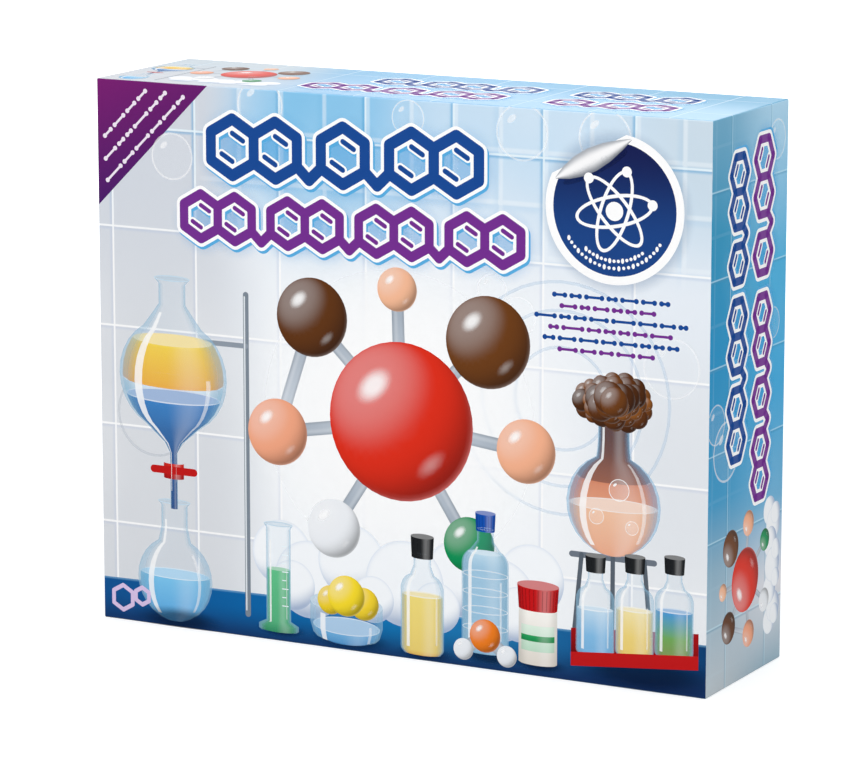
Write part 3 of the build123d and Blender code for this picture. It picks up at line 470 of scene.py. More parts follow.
def soft_tube(name, rows, around, skin, material, node):
    """Closed soft piece that stands for a CAD node. skin(along, turn) gives a point of its surface and the
    value that its material reads there as "mark"."""
    shape = bmesh.new()
    bmesh.ops.create_grid(shape, x_segments=around, y_segments=rows, size=0.5,
                          matrix=Matrix.Translation((0.5, 0.5, 0)))
    mark = shape.verts.layers.float.new("mark")
    for vert in shape.verts:
        vert.co, vert[mark] = skin(vert.co.y, vert.co.x * math.tau)
    bmesh.ops.remove_doubles(shape, verts=shape.verts[:], dist=2e-6)
    bmesh.ops.holes_fill(shape, edges=[edge for edge in shape.edges if edge.is_boundary])
    bmesh.ops.recalc_face_normals(shape, faces=shape.faces[:])
    for face in shape.faces:
        face.smooth = True
    mesh = bpy.data.meshes.new(name)
    shape.to_mesh(mesh)
    shape.free()
    mesh.materials.append(material)
    piece = bpy.data.objects.new(name, mesh)
    bpy.context.scene.collection.objects.link(piece)
    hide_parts(node)
    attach(piece, "base")


def flat_round(turn, half_width, half_height, power):
    """Point of a flattened oval section; a low power makes it squarer."""
    def bulged(value):
        return math.copysign(abs(value) ** power, value)
    return half_width * bulged(math.cos(turn)), half_height * bulged(math.sin(turn))


def elastic_strap():
    """Strap from one lug of the goggles round behind them to the other, a little slack."""
    low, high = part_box("goggles_strap")
    middle = (low + high) / 2
    thick, bend = 1.3 * MM, 5 * MM
    reach, depth = (high.x - low.x - thick) / 2, high.y - low.y - thick / 2
    side, corner, back = depth - bend, bend * math.pi / 2, 2 * (reach - bend)
    whole = 2 * (side + corner) + back

    def skin(along, turn):
        run = along * whole
        mirror = 1 if along > 0.5 else -1
        start = min(run, whole - run)
        if start < side:
            spot, out = Vector((reach, start)), Vector((1, 0))
        elif start < side + corner:
            a = (start - side) / bend
            out = Vector((math.cos(a), math.sin(a)))
            spot = Vector((reach - bend, side)) + out * bend
        else:
            spot, out = Vector((reach - bend - (start - side - corner), depth)), Vector((0, 1))
        share = min(max((run - side - corner) / back, 0.0), 1.0)
        slack = 0.9 * MM * (1 - math.cos(math.tau * 3 * share)) * math.sin(math.pi * share)
        across, off = flat_round(turn, 7.4 * MM, 0.6 * MM, 0.45)
        place = Vector((mirror * (spot.x + out.x * off), spot.y + out.y * off - slack,
                        across + 0.8 * MM * math.sin(math.tau * share)))
        return Vector((middle.x, low.y, middle.z)) + place, run
    soft_tube("elastic_strap", 260, 28, skin, woven_elastic(), "goggles_strap")


def empty_balloon(number, material):
    """Empty balloon lying flat: rolled lip, neck and slack body, with folds that run out of the neck."""
    low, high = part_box(f"balloon_{number}")
    middle, length, round_r = (low + high) / 2, high.x - low.x, (high.z - low.z) / 2

    def skin(along, turn):
        run = along * length
        from_middle = run - (length - round_r)
        body = math.sqrt(max(round_r ** 2 - from_middle ** 2, 0.0))
        neck = (3.9 * MM + 0.7 * MM * ease(2.2 * MM, 1.2 * MM, run)) * (from_middle < 0)
        half = (body ** 3 + neck ** 3) ** (1 / 3)
        lip = ease(2.4 * MM, 1.4 * MM, run) * ease(-0.4 * MM, 0.4 * MM, run)
        across, off = flat_round(turn, half, (0.5 + 0.35 * lip) * MM, 0.6)
        if off < 0:
            off *= 1 + 1.6 * ease(0.3 * length, 0.62 * length, run) * ease(1.0, 0.3, run / length)
        spread = across / max(half, MM)
        folds = math.sin(7 * spread + 2 * number) * math.exp(-((run - 0.34 * length) / (0.2 * length)) ** 2)
        creases = noise.noise(Vector((run * 120, across * 150, 3.0 * number)))
        relief = (0.3 * folds + 0.55 * creases) * (1 - lip)
        # painted shade: the mark is lower in the folds and creases and towards the sides, and the rubber is painted
        # darker there
        mark = 0.55 - 1.1 * relief - 0.35 * ease(0.8, 1.0, abs(spread)) * (1 - lip)
        return Vector((low.x + run, middle.y + off + relief * MM, middle.z + across)), mark
    soft_tube(f"latex_balloon_{number}", 90, 40, skin, material, f"balloon_{number}")


def dress_cad_pieces():
    clear_ware = clear("clear_plastic", rgb("#f6fcfe"))
    vinyl = clear("clear_vinyl", rgb("#e2f3fb"), 0.12, 0.8, 0.1)
    milky = moulded("milky_plastic", rgb("#eef1f3"), 0.35, Subsurface_Weight=0.15)
    looks = {
        "lid_shell": printed_board(),
        "base_shell": plain_board(),
        "instruction_booklet": moulded("booklet_paper", rgb("#f4f2ec"), 0.55, 0.05),
        "goggles_frame": vinyl,
        "pipette": with_scale("pipette", rgb("#eef8fb"), -1.6, 3.2, 30, 80, 6, 0.12, 0.8),
        "goggles_lens": clear("clear_lens", rgb("#f2fbff"), 0.02, 0.98, 0.01),
        "tube_rack": moulded("red_plastic", rgb("#c4161c"), 0.22, 0.06, rgb("#a80f16"), Coat_Weight=0.4),
        "flask_stopper": moulded("black_rubber", rgb("#262729"), 0.62, 0.3),
        "syringe_seal": moulded("seal_rubber", rgb("#202123"), 0.45, 0.1),
        "jar_white_body": milky, "jar_red_body": milky, "syringe_plunger": milky,
        "jar_white_cap": moulded("white_plastic", rgb("#f6f6f4"), 0.3, 0.06),
        "tweezers_upper_arm": moulded("black_plastic", rgb("#1c1d1f"), 0.32, 0.12),
        "drinking_straw": striped_straw(),
        "indicator_strips": test_paper(),
        "beaker": with_scale("beaker", rgb("#f6fcfe"), -4, 9, 12, 54, 4),
        "conical_flask": with_scale("conical_flask", rgb("#f6fcfe"), -5, 10, 10, 52, 5),
        "syringe_barrel": with_scale("syringe_barrel", rgb("#f6fbfd"), -3, 6, 12, 62, 2.5),
    }
    insert = moulded("insert_plastic", rgb("#f1f4f6"), 0.28, 0.08, rgb("#e6ebef"), Coat_Weight=0.3)
    looks.update({name: insert for name in nodes if name.startswith("insert_")})
    looks["jar_red_cap"] = looks["stirring_rod"] = looks["tube_rack"]
    looks["tweezers_lower_arm"] = looks["tweezers_upper_arm"]
    looks["petri_dish_base"] = looks["petri_dish_lid"] = clear_ware
    for number in range(1, 5):
        looks[f"test_tube_{number}"] = clear_ware
        looks[f"tube_cap_{number}"] = looks["tweezers_upper_arm"]
    for name, material in looks.items():
        nodes[name].data.materials.clear()
        nodes[name].data.materials.append(material)


# ------------------------------------------------------------------ ink on the board
DRAWN_LIGHT = Vector((-0.5, 0.5, 0.71)).normalized()     # where the drawn things are lit from
SILVER, BLACK = rgb("#c9ced6"), rgb("#101114")


def faded(colour, alpha):
    return (*colour[:3], alpha)


def ball_shade(code):
    """Shade of a glossy ball of this colour, read at the direction that its surface faces."""
    base = rgb(code)
    deep, bright = between(base, BLACK, 0.62), between(base, WHITE, 0.2)

    def shade(facing):
        lit = facing.dot(DRAWN_LIGHT)
        tone = between(deep, base, ease(-0.45, 0.55, lit))
        tone = between(tone, bright, ease(0.5, 1.0, lit))
        return between(tone, bright, ease(0.42, 0.12, facing.z) * ease(0.1, -0.7, lit) * 0.55)
    return shade


def puff_shade(facing):
    """Shade of white vapour, lit from above."""
    lit = facing.dot(Vector((-0.25, 0.85, 0.46)))
    tone = between(rgb("#93a8c8"), rgb("#f7fafd"), ease(-0.85, 0.3, lit))
    return between(tone, rgb("#ccd8ea"), ease(0.5, 0.05, facing.z) * 0.5)


def soft_spot(colour, strength, inner=0.0):
    """Shade of a round patch that fades out to its edge."""
    return lambda co: faded(colour, strength * ease(1.0, inner, math.hypot(co.x, co.y)))


def liquid_shade(low, high, cover=1.0):
    """Shade of a liquid in a round vessel, read at x across and y up."""
    def shade(co):
        tone = between(rgb(low), rgb(high), co.y)
        tone = between(tone, BLACK, ease(0.5, 1.0, abs(co.x)) * 0.22)
        tone = between(tone, WHITE, ease(0.5, 0.0, abs(co.x - 0.35)) * 0.16)
        return faded(tone, cover)
    return shade


def glass_shade(code="#9fc6dc", cover=0.5):
    """Shade of clear glass: thin in the middle, denser at its edges."""
    def shade(co):
        return faded(rgb(code), 0.10 + cover * ease(0.62, 1.0, abs(co.x)))
    return shade


def rows_between(profile, low, high):
    """The stretch of a profile of (half width, height) pairs from one height to another."""
    def at(level):
        for (w0, h0), (w1, h1) in zip(profile, profile[1:]):
            if h0 <= level <= h1 and h1 > h0:
                return (w0 + (w1 - w0) * (level - h0) / (h1 - h0), level)
        return profile[0] if level <= profile[0][1] else profile[-1]
    return [at(low), *[row for row in profile if low < row[1] < high], at(high)]


def arc_rows(centre_w, centre_h, radius, start, end, steps=8):
    """Profile rows round an arc; angles in degrees from straight out, turning up."""
    turns = [math.radians(start + (end - start) * i / steps) for i in range(steps + 1)]
    return [(centre_w + radius * math.cos(a), centre_h + radius * math.sin(a)) for a in turns]


class Sheet:
    """Printed face of the lid: u runs right and v up from its lower left corner, in millimetres."""

    def __init__(self, name, corner, right, up, size):
        self.name, self.size = name, size
        self.corner, self.right, self.up = Vector(corner), Vector(right), Vector(up)
        self.out = self.right.cross(self.up)
        self.films = {"solid": bmesh.new(), "soft": bmesh.new()}
        self.scratch = bpy.data.meshes.new(f"{name}_scratch")
        self.layer, self.count = 1, 0

    def press(self, shape, place, soft):
        """Lay a coloured shape flat on the sheet, at the present layer, cut off at the sheet's edges."""
        self.count += 1
        height = (self.layer + 0.1 * (self.count % 5)) * PRINT_STEP
        for vert in shape.verts:
            vert.co = (place @ Vector((vert.co.x, vert.co.y, 0.0))).to_2d().to_3d()
        for axis, side in ((0, -1), (0, 1), (1, -1), (1, 1)):
            edge = self.size[axis] / MM * (side > 0)
            if any((vert.co[axis] - edge) * side > 0 for vert in shape.verts):
                line, outwards = Vector((0, 0, 0)), Vector((0, 0, 0))
                line[axis], outwards[axis] = edge, side
                bmesh.ops.bisect_plane(shape, geom=shape.verts[:] + shape.edges[:] + shape.faces[:], dist=1e-4,
                                       plane_co=line, plane_no=outwards, clear_outer=True)
        for vert in shape.verts:
            vert.co = self.corner + (self.right * vert.co.x + self.up * vert.co.y) * MM + self.out * height
        bmesh.ops.recalc_face_normals(shape, faces=shape.faces[:])
        turned_away = [face for face in shape.faces if face.normal.dot(self.out) < 0]
        bmesh.ops.reverse_faces(shape, faces=turned_away)
        shape.to_mesh(self.scratch)
        shape.free()
        self.films["soft" if soft else "solid"].from_mesh(self.scratch)

    def finish(self, materials):
        for kind, film in self.films.items():
            mesh = bpy.data.meshes.new(f"{self.name}_{kind}_ink")
            film.to_mesh(mesh)
            film.free()
            mesh.materials.append(materials[kind])
            piece = bpy.data.objects.new(mesh.name, mesh)
            bpy.context.scene.collection.objects.link(piece)
            piece.visible_shadow = piece.visible_diffuse = False
            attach(piece, "lid")


class Pen:
    """Draws on a sheet in its own millimetres, which may be set down anywhere, scaled and turned."""

    def __init__(self, sheet, place=None):
        self.sheet, self.place = sheet, place or Matrix.Identity(4)

    def at(self, u, v, size=1.0, turn=0.0):
        move = Matrix.Translation((u, v, 0)) @ Matrix.Rotation(math.radians(turn), 4, "Z")
        return Pen(self.sheet, self.place @ move @ Matrix.Scale(size, 4))

    def lift(self):
        """What is drawn next lies above what is there."""
        self.sheet.layer += 1

    def draw(self, shape, colour, soft=False, warp=None):
        """Colour the points of a shape where they are, then bend it and press it."""
        ink = shape.verts.layers.float_color.new("ink")
        for vert in shape.verts:
            vert[ink] = colour(vert.co) if callable(colour) else colour
            if warp:
                vert.co = warp(vert.co)
        self.sheet.press(shape, self.place, soft)

    def ball(self, u, v, radius, colour, soft=False, squash=1.0, turn=0.0):
        """Disc coloured as a half sphere: the colour is read at the direction that its surface faces."""
        shape = bmesh.new()
        fine = 44 if radius > 9 else 24
        bmesh.ops.create_uvsphere(shape, u_segments=fine, v_segments=fine // 2, radius=1.0)
        bmesh.ops.bisect_plane(shape, geom=shape.verts[:] + shape.edges[:] + shape.faces[:], dist=1e-5,
                               plane_co=(0, 0, 0), plane_no=(0, 0, 1), clear_inner=True)
        self.at(u, v, radius, turn).draw(shape, colour, soft, lambda co: Vector((co.x, co.y * squash, 0)))

    def glow(self, u, v, radius, colour, strength=0.5, inner=0.0, squash=1.0, turn=0.0):
        self.ball(u, v, radius, soft_spot(colour, strength, inner), True, squash, turn)

    def marbles(self, balls, shine=0.85):
        """Glossy balls (u, v, radius, colour) that don't overlap each other, each with its highlight."""
        for u, v, radius, code in balls:
            self.ball(u, v, radius, ball_shade(code))
        self.lift()
        for u, v, radius, _ in balls:
            self.glow(u - 0.38 * radius, v + 0.42 * radius, 0.34 * radius, WHITE, shine, 0.25, 0.6, 42)
            self.glow(u + 0.42 * radius, v - 0.5 * radius, 0.3 * radius, WHITE, shine * 0.25, 0.0, 0.45, 42)
        self.lift()

    def oval(self, u, v, a, b, colour, soft=False, turn=0.0, segments=40):
        shape = bmesh.new()
        bmesh.ops.create_circle(shape, cap_ends=True, segments=segments, radius=1.0)
        self.at(u, v, turn=turn).draw(shape, colour, soft, lambda co: Vector((co.x * a, co.y * b, 0)))

    def hoop(self, u, v, a, b, width, colour, soft=False, turn=0.0, segments=48):
        """Oval ring; its width is measured inwards."""
        shape = bmesh.new()
        for radius in (1.0, 0.5):
            bmesh.ops.create_circle(shape, segments=segments, radius=radius)
        bmesh.ops.bridge_loops(shape, edges=shape.edges[:])

        def warp(co):
            inner = co.length < 0.75
            scale = 2.0 if inner else 1.0
            return Vector((co.x * scale * (a - width * inner), co.y * scale * (b - width * inner), 0))
        self.at(u, v, turn=turn).draw(shape, colour, soft, warp)

    def stroke(self, points, width, colour, closed=False):
        """Round-ended line of one width through the points."""
        shape = bmesh.new()
        points = [Vector((*point, 0.0)) for point in points]
        for start, end in zip(points, points[1:] + points[:closed]):
            run = end - start
            turned = Matrix.Translation((start + end) / 2) @ Matrix.Rotation(math.atan2(run.y, run.x), 4, "Z")
            bmesh.ops.create_grid(shape, x_segments=1, y_segments=1, size=0.5,
                                  matrix=turned @ Matrix.Diagonal((run.length, width, 1, 1)))
        for point in points:
            bmesh.ops.create_circle(shape, cap_ends=True, segments=18, radius=width / 2,
                                    matrix=Matrix.Translation(point))
        self.draw(shape, colour)

    def patch(self, outline, colour, soft=False, rounds=0, step=0.0):
        """Filled outline, its corners cut round; step is the spacing of the rows that carry a gradient."""
        for _ in range(rounds):
            pairs = list(zip(outline, outline[1:] + outline[:1]))
            outline = [tuple(p + (q - p) * share for p, q in zip(a, b)) for a, b in pairs for share in (0.25, 0.75)]
        shape = bmesh.new()
        shape.faces.new([shape.verts.new((*point, 0.0)) for point in outline])
        heights = [point[1] for point in outline]
        level = min(heights) + step
        while step and level < max(heights):
            bmesh.ops.bisect_plane(shape, geom=shape.verts[:] + shape.edges[:] + shape.faces[:], dist=1e-5,
                                   plane_co=(0, level, 0), plane_no=(0, 1, 0))
            level += step
        self.draw(shape, colour, soft)

    def turned(self, profile, colour, soft=False, sag=0.12, across=(-1.0, 1.0), columns=16):
        """Front of a round vessel: the profile is (half width, height) pairs from the bottom up, and the
        colour is read at x across (-1 to 1) and y up (0 to 1)."""
        shape = bmesh.new()
        spans = len(profile) - 1
        rows = spans * max(1, 16 // spans)
        bmesh.ops.create_grid(shape, x_segments=columns, y_segments=rows, size=0.5,
                              matrix=Matrix.Translation((0.5, 0.5, 0)))
        for vert in shape.verts:
            vert.co.x = across[0] + (across[1] - across[0]) * vert.co.x

        def warp(co):
            index = min(int(co.y * spans + 1e-6), spans - 1)
            share = co.y * spans - index
            (w0, h0), (w1, h1) = profile[index], profile[index + 1]
            half = w0 + (w1 - w0) * share
            bulge = math.sqrt(max(0.0, 1 - co.x ** 2))
            return Vector((co.x * half, h0 + (h1 - h0) * share - sag * half * bulge, 0))
        self.draw(shape, colour, soft, warp)

    def vessel(self, profile, layers, sag=0.14, rim=True, glass="#8fbbd6"):
        """Clear vessel with layers of liquid, each (top height, lower colour, upper colour)."""
        base = profile[0][1]
        inner = [(w * 0.94, h) for w, h in profile]
        top_w, top_h = profile[-1]
        if rim:
            self.oval(0, top_h, top_w, top_w * sag * 1.1, faded(rgb(glass), 0.35), soft=True)
        for top, low, high in layers:
            stretch = rows_between(inner, base, top)
            self.turned(stretch, liquid_shade(low, high), sag=sag)
            half = stretch[-1][0]
            self.lift()
            self.oval(0, top, half, half * sag, between(rgb(high), WHITE, 0.35))
            self.hoop(0, top, half, half * sag, 0.5, between(rgb(high), WHITE, 0.7))
            base = top
        self.lift()
        self.turned(profile, glass_shade(glass), soft=True, sag=sag)
        self.lift()
        self.turned(rows_between(profile, profile[0][1] + top_h * 0.08, top_h * 0.86), faded(WHITE, 0.75), soft=True,
                    sag=sag, across=(-0.72, -0.58), columns=1)
        self.turned(rows_between(profile, profile[0][1] + top_h * 0.12, top_h * 0.6), faded(WHITE, 0.4), soft=True,
                    sag=sag, across=(0.62, 0.7), columns=1)
        if rim:
            self.hoop(0, top_h, top_w, top_w * sag * 1.1, max(0.4, top_w * 0.07), between(rgb(glass), WHITE, 0.4))

    def stopper(self, width, base, height, code="#1d1f22", ribs=0):
        """Stopper or cap above a vessel, with ribs round it if it is a screw cap."""
        self.turned([(width * 0.92, base), (width, base + height)], liquid_shade(code, code), sag=0.14)
        self.lift()
        for rib in range(ribs):
            across = math.sin(math.radians(-75 + 150 * rib / (ribs - 1)))
            self.turned([(width * 0.93, base + 0.6), (width, base + height * 0.9)], faded(BLACK, 0.35), soft=True,
                        sag=0.14, across=(across - 0.02, across + 0.03), columns=1)
        self.lift()
        self.oval(0, base + height, width, width * 0.2, between(rgb(code), WHITE, 0.22))

    def ground(self, u, v, reach):
        """Soft shadow on the bench under something this wide."""
        self.glow(u + 0.12 * reach, v, reach * 1.35, rgb("#04122c"), 0.75, 0.3, 0.26)


# ------------------------------------------------------------------ generic drawings
ROUND_FLASK = arc_rows(0, 30, 30, -90, 68, 12) + [(10.5, 62), (10, 70), (10, 92), (12.5, 94)]
ROUND_FLASK_SMALL = arc_rows(0, 24, 24, -90, 64, 12) + [(9.6, 49), (8.5, 54), (8.5, 66), (10.5, 68)]
FUNNEL = [(1.6, 0), (1.6, 22), (4, 26), *arc_rows(2, 52, 22, -62, 60, 10), (9, 76), (6, 80), (6, 88), (8, 90)]
WATER_BOTTLE = [(11, 0), *arc_rows(10.5, 2.5, 2.5, -75, 0, 3), (13, 44), *arc_rows(5, 44, 8, 15, 65, 4), (4.6, 56),
                (4.6, 62)]
BOTTLE = [(8, 0), *arc_rows(7, 2, 2, -80, 0, 3), (9, 24), *arc_rows(3, 24, 6, 10, 70, 3), (3.6, 33), (3.6, 37)]


def hexagon(u, v, radius):
    turns = [math.radians(30 + 60 * i) for i in range(6)]
    return [(u + radius * math.cos(a), v + radius * math.sin(a)) for a in turns]


def ring_chain(pen, plan, radius, width, colour):
    """Row of six-sided rings: in the plan, 1 is a ring and 0 a bond. White edge, soft blue shadow."""
    flat = radius * math.cos(math.radians(30))
    rings, bonds, u, tied = [], [], 0.0, False
    for kind in plan:
        if kind:
            rings.append(hexagon(u + flat, 0, radius))
            u += 2 * flat
        else:
            reach = flat * 0.55
            bonds.append([(u, -radius * 0.5), (u + reach, -radius * 0.95), (u + 2 * reach, -radius * 0.5)])
            u += 2 * reach
    inner = [hexagon((r[0][0] + r[2][0]) / 2, 0, radius * 0.5) for r in rings]
    for ring in rings:
        pen.glow((ring[0][0] + ring[2][0]) / 2 + 1.5, -2.0, radius * 1.75, rgb("#3f9fdc"), 0.5, 0.35)
    pen.lift()
    for offset, grow, tint in (((0.9, -1.2), 3.6, rgb("#58ace0")), ((0.0, 0.0), 3.4, WHITE), ((0.0, 0.0), 0.0, colour)):
        moved = pen.at(*offset)
        for ring in rings:
            moved.stroke(ring, width + grow, tint, closed=True)
        for bond in bonds:
            moved.stroke(bond, width + grow, tint)
        for core, ring in zip(inner, rings):
            moved.stroke(core[0:2], width * 0.45 + grow * 0.6, tint)
            moved.stroke(core[3:5], width * 0.45 + grow * 0.6, tint)
        pen.lift()
    return u


def bubble(pen, u, v, radius, strength=0.5):
    pen.oval(u, v, radius, radius, faded(WHITE, 0.12 * strength), soft=True)
    pen.hoop(u, v, radius, radius, radius * 0.07, faded(WHITE, 0.75 * strength), soft=True)
    pen.oval(u - radius * 0.4, v + radius * 0.45, radius * 0.2, radius * 0.11, faded(WHITE, 0.85 * strength),
             soft=True, turn=40)


def badge(pen):
    """Round navy sticker with a white edge, its upper left rim curled over; an orbit sign on it."""
    lift, cut = 30.0, math.radians(118)
    away = Vector((math.cos(cut), math.sin(cut), 0))
    pen.glow(1.0, -1.5, 42, rgb("#5d7ea3"), 0.45, 0.78)
    pen.lift()
    for radius, colour in ((36.5, WHITE), (32.4, None)):
        shape = bmesh.new()
        bmesh.ops.create_circle(shape, cap_ends=True, segments=72, radius=radius)
        for level in range(-30, 34, 4):
            bmesh.ops.bisect_plane(shape, geom=shape.verts[:] + shape.edges[:] + shape.faces[:], dist=1e-5,
                                   plane_co=(0, level, 0), plane_no=(0, 1, 0))
        bmesh.ops.bisect_plane(shape, geom=shape.verts[:] + shape.edges[:] + shape.faces[:], dist=1e-5,
                               plane_co=away * (lift - 1.0), plane_no=away, clear_outer=True)
        pen.draw(shape, colour or (lambda co: between(rgb("#1e4586"), rgb("#171f50"), ease(-20, 32, co.y))))
        pen.lift()
    shadow = pen.at(away.x * (lift - 8), away.y * (lift - 8), turn=math.degrees(cut) - 90)
    shadow.oval(0, 0, 19, 3.4, faded(rgb("#0c1335"), 0.4), soft=True)
    roll = pen.at(away.x * (lift - 4), away.y * (lift - 4), turn=math.degrees(cut))

    def silver(co):
        tone = between(rgb("#7d828b"), rgb("#fbfbfc"), ease(-1.0, -0.05, co.x))
        return between(tone, rgb("#a9adb4"), ease(0.2, 1.0, co.x))
    roll.turned([(0.4, -23.5), (2.6, -17), (4.7, -9), (5.8, 0), (5.2, 8), (3.4, 15), (0.4, 21.5)], silver, sag=0.0)
    pen.lift()
    for turn in (12, 72, 132):
        pen.hoop(0, -1, 21, 8, 1.7, WHITE, turn=turn)
        pen.lift()
        a = math.radians(turn)
        pen.oval(21 * math.cos(a) * 0.97, -1 + 21 * math.sin(a) * 0.97, 2.6, 2.6, WHITE)
    pen.oval(0, -1, 4.6, 4.6, WHITE)
    for row, (radius, count) in enumerate(((28.5, 23), (25.0, 15))):
        for step in range(count):
            a = math.radians(-90 + (step - (count - 1) / 2) * 5.2)
            pen.oval(radius * math.cos(a), radius * math.sin(a), 0.85, 0.85 if step % 3 else 1.3, WHITE, segments=12)


def short_rows(pen, widths, pitch, seed, colours=(INK_BLUE, INK_PURPLE), width=1.3):
    """Rows of small linked dots, in turn in each colour."""
    rng = random.Random(seed)
    for row, reach in enumerate(widths):
        u, v, colour = -reach / 2, -row * pitch, colours[row % len(colours)]
        while u < reach / 2 - 2:
            length = min(rng.uniform(3.0, 11.0), reach / 2 - u)
            pen.stroke([(u, v), (u + length, v)], width, colour)
            pen.oval(u, v, width, width, colour, segments=14)
            pen.oval(u + length, v, width, width, colour, segments=14)
            u += length + 2.8 * width


def foam_head(pen, u, v, wide, high, size, codes):
    """Head of foam: rings of bubbles, smaller outwards, the inner ones in front."""
    rings = 4
    for ring in range(rings, -1, -1):
        share, count = ring / rings, max(1, 4 * ring)
        for first in (0, 1):
            bubbles = []
            for k in range(first, count, 2):
                turn = math.tau * k / count + 0.7 * ring
                radius = size * (1 - 0.4 * share) * (1 + 0.24 * math.sin(5.1 * k + 2.3 * ring))
                bubbles.append((u + wide * share * math.cos(turn), v + high * share * math.sin(turn), radius,
                                codes[(2 * k + ring) % len(codes)]))
            pen.marbles(bubbles, 0.4)


def puff_cloud(pen, puffs):
    """Bank of white vapour made of round puffs, back ones first."""
    for u, v, radius in puffs:
        pen.ball(u, v, radius, puff_shade)
        pen.lift()


def bonded_balls(pen, balls, bonds, low="#9aa6b4", high="#d5dde6"):
    """Ball-and-stick model: balls are (u, v, radius, colour), bonds are pairs of their numbers."""
    for a, b in bonds:
        (u0, v0, *_), (u1, v1, *_) = balls[a], balls[b]
        run = math.hypot(u1 - u0, v1 - v0)
        stick = pen.at(u0, v0, turn=math.degrees(math.atan2(v1 - v0, u1 - u0)) - 90)
        stick.turned([(3.4, 0), (3.4, run)], liquid_shade(low, high), sag=0.0)
    pen.lift()
    for ball in balls:
        pen.marbles([ball])


def dripping_funnel(pen):
    """Separating funnel held over a small flask, a yellow layer on a blue one."""
    pen.stroke([(86, 12), (86, 176)], 3.2, rgb("#7d8894"))
    pen.stroke([(86, 150), (58, 150)], 2.6, rgb("#8f99a5"))
    pen.lift()
    pen.stroke([(85.2, 14), (85.2, 175)], 0.8, rgb("#dfe5ea"))
    pen.at(43, 3, 0.92).vessel(ROUND_FLASK_SMALL, [(27, "#2f92da", "#7cc7f0")])
    funnel = pen.at(43, 62, 1.32)
    funnel.vessel(FUNNEL, [(44, "#173f80", "#2f7cc4"), (50, "#a9cfe8", "#dcebf6"), (66, "#f0a714", "#fcd92f")])
    funnel.turned([(4.5, 12), (4.5, 18)], liquid_shade("#a81217", "#d32a20"), sag=0.1)
    funnel.stroke([(-9, 15), (9, 15)], 3.0, rgb("#bf1a1a"))
    pen.lift()


def great_model(pen):
    """Large ball-and-stick model over a bank of white vapour."""
    puff_cloud(pen, [(106, 46, 17), (246, 48, 18), (122, 34, 20), (228, 36, 21), (146, 46, 19), (206, 44, 19),
                     (176, 38, 22)])
    bonded_balls(pen, [(124, 168, 20, "#5f3517"), (222, 164, 23, "#6b3d1a"), (104, 108, 17, "#f0a583"),
                       (243, 112, 16, "#f3b18e"), (136, 62, 15, "#edf0f4"), (212, 62, 14, "#0f8f55"),
                       (172, 186, 11, "#f3b996"), (174, 120, 40, "#dc2f1c")],
                 [(0, 7), (1, 7), (2, 7), (3, 7), (4, 7), (5, 7), (6, 7), (0, 2)])
    puff_cloud(pen, [(112, 30, 13), (240, 30, 14), (158, 28, 12), (194, 28, 13)])


def foaming_flask(pen):
    """Round flask on a tripod, foaming over."""
    for foot in (-21, 0, 21):
        pen.stroke([(290 + foot * 0.8, 64), (290 + foot, 20)], 2.4, rgb("#59626d"))
    pen.stroke([(268, 64), (312, 64)], 3.0, rgb("#6d7682"))
    pen.lift()
    pen.at(290, 65, 0.84).vessel(ROUND_FLASK, [(30, "#ee9e74", "#f9c39b"), (46, "#f1a77c", "#d97f4e"),
                                               (90, "#9a5427", "#53290f")], glass="#7db4d8")
    pen.lift()
    for u, v, radius in ((281, 84, 4), (300, 80, 3.5), (293, 98, 5.5)):
        bubble(pen, u, v, radius, 1.1)
    pen.lift()
    foam_head(pen, 290, 141, 17, 10, 7.5, ("#6b3d1a", "#4c2912", "#8a5325", "#5b3216", "#77461f"))


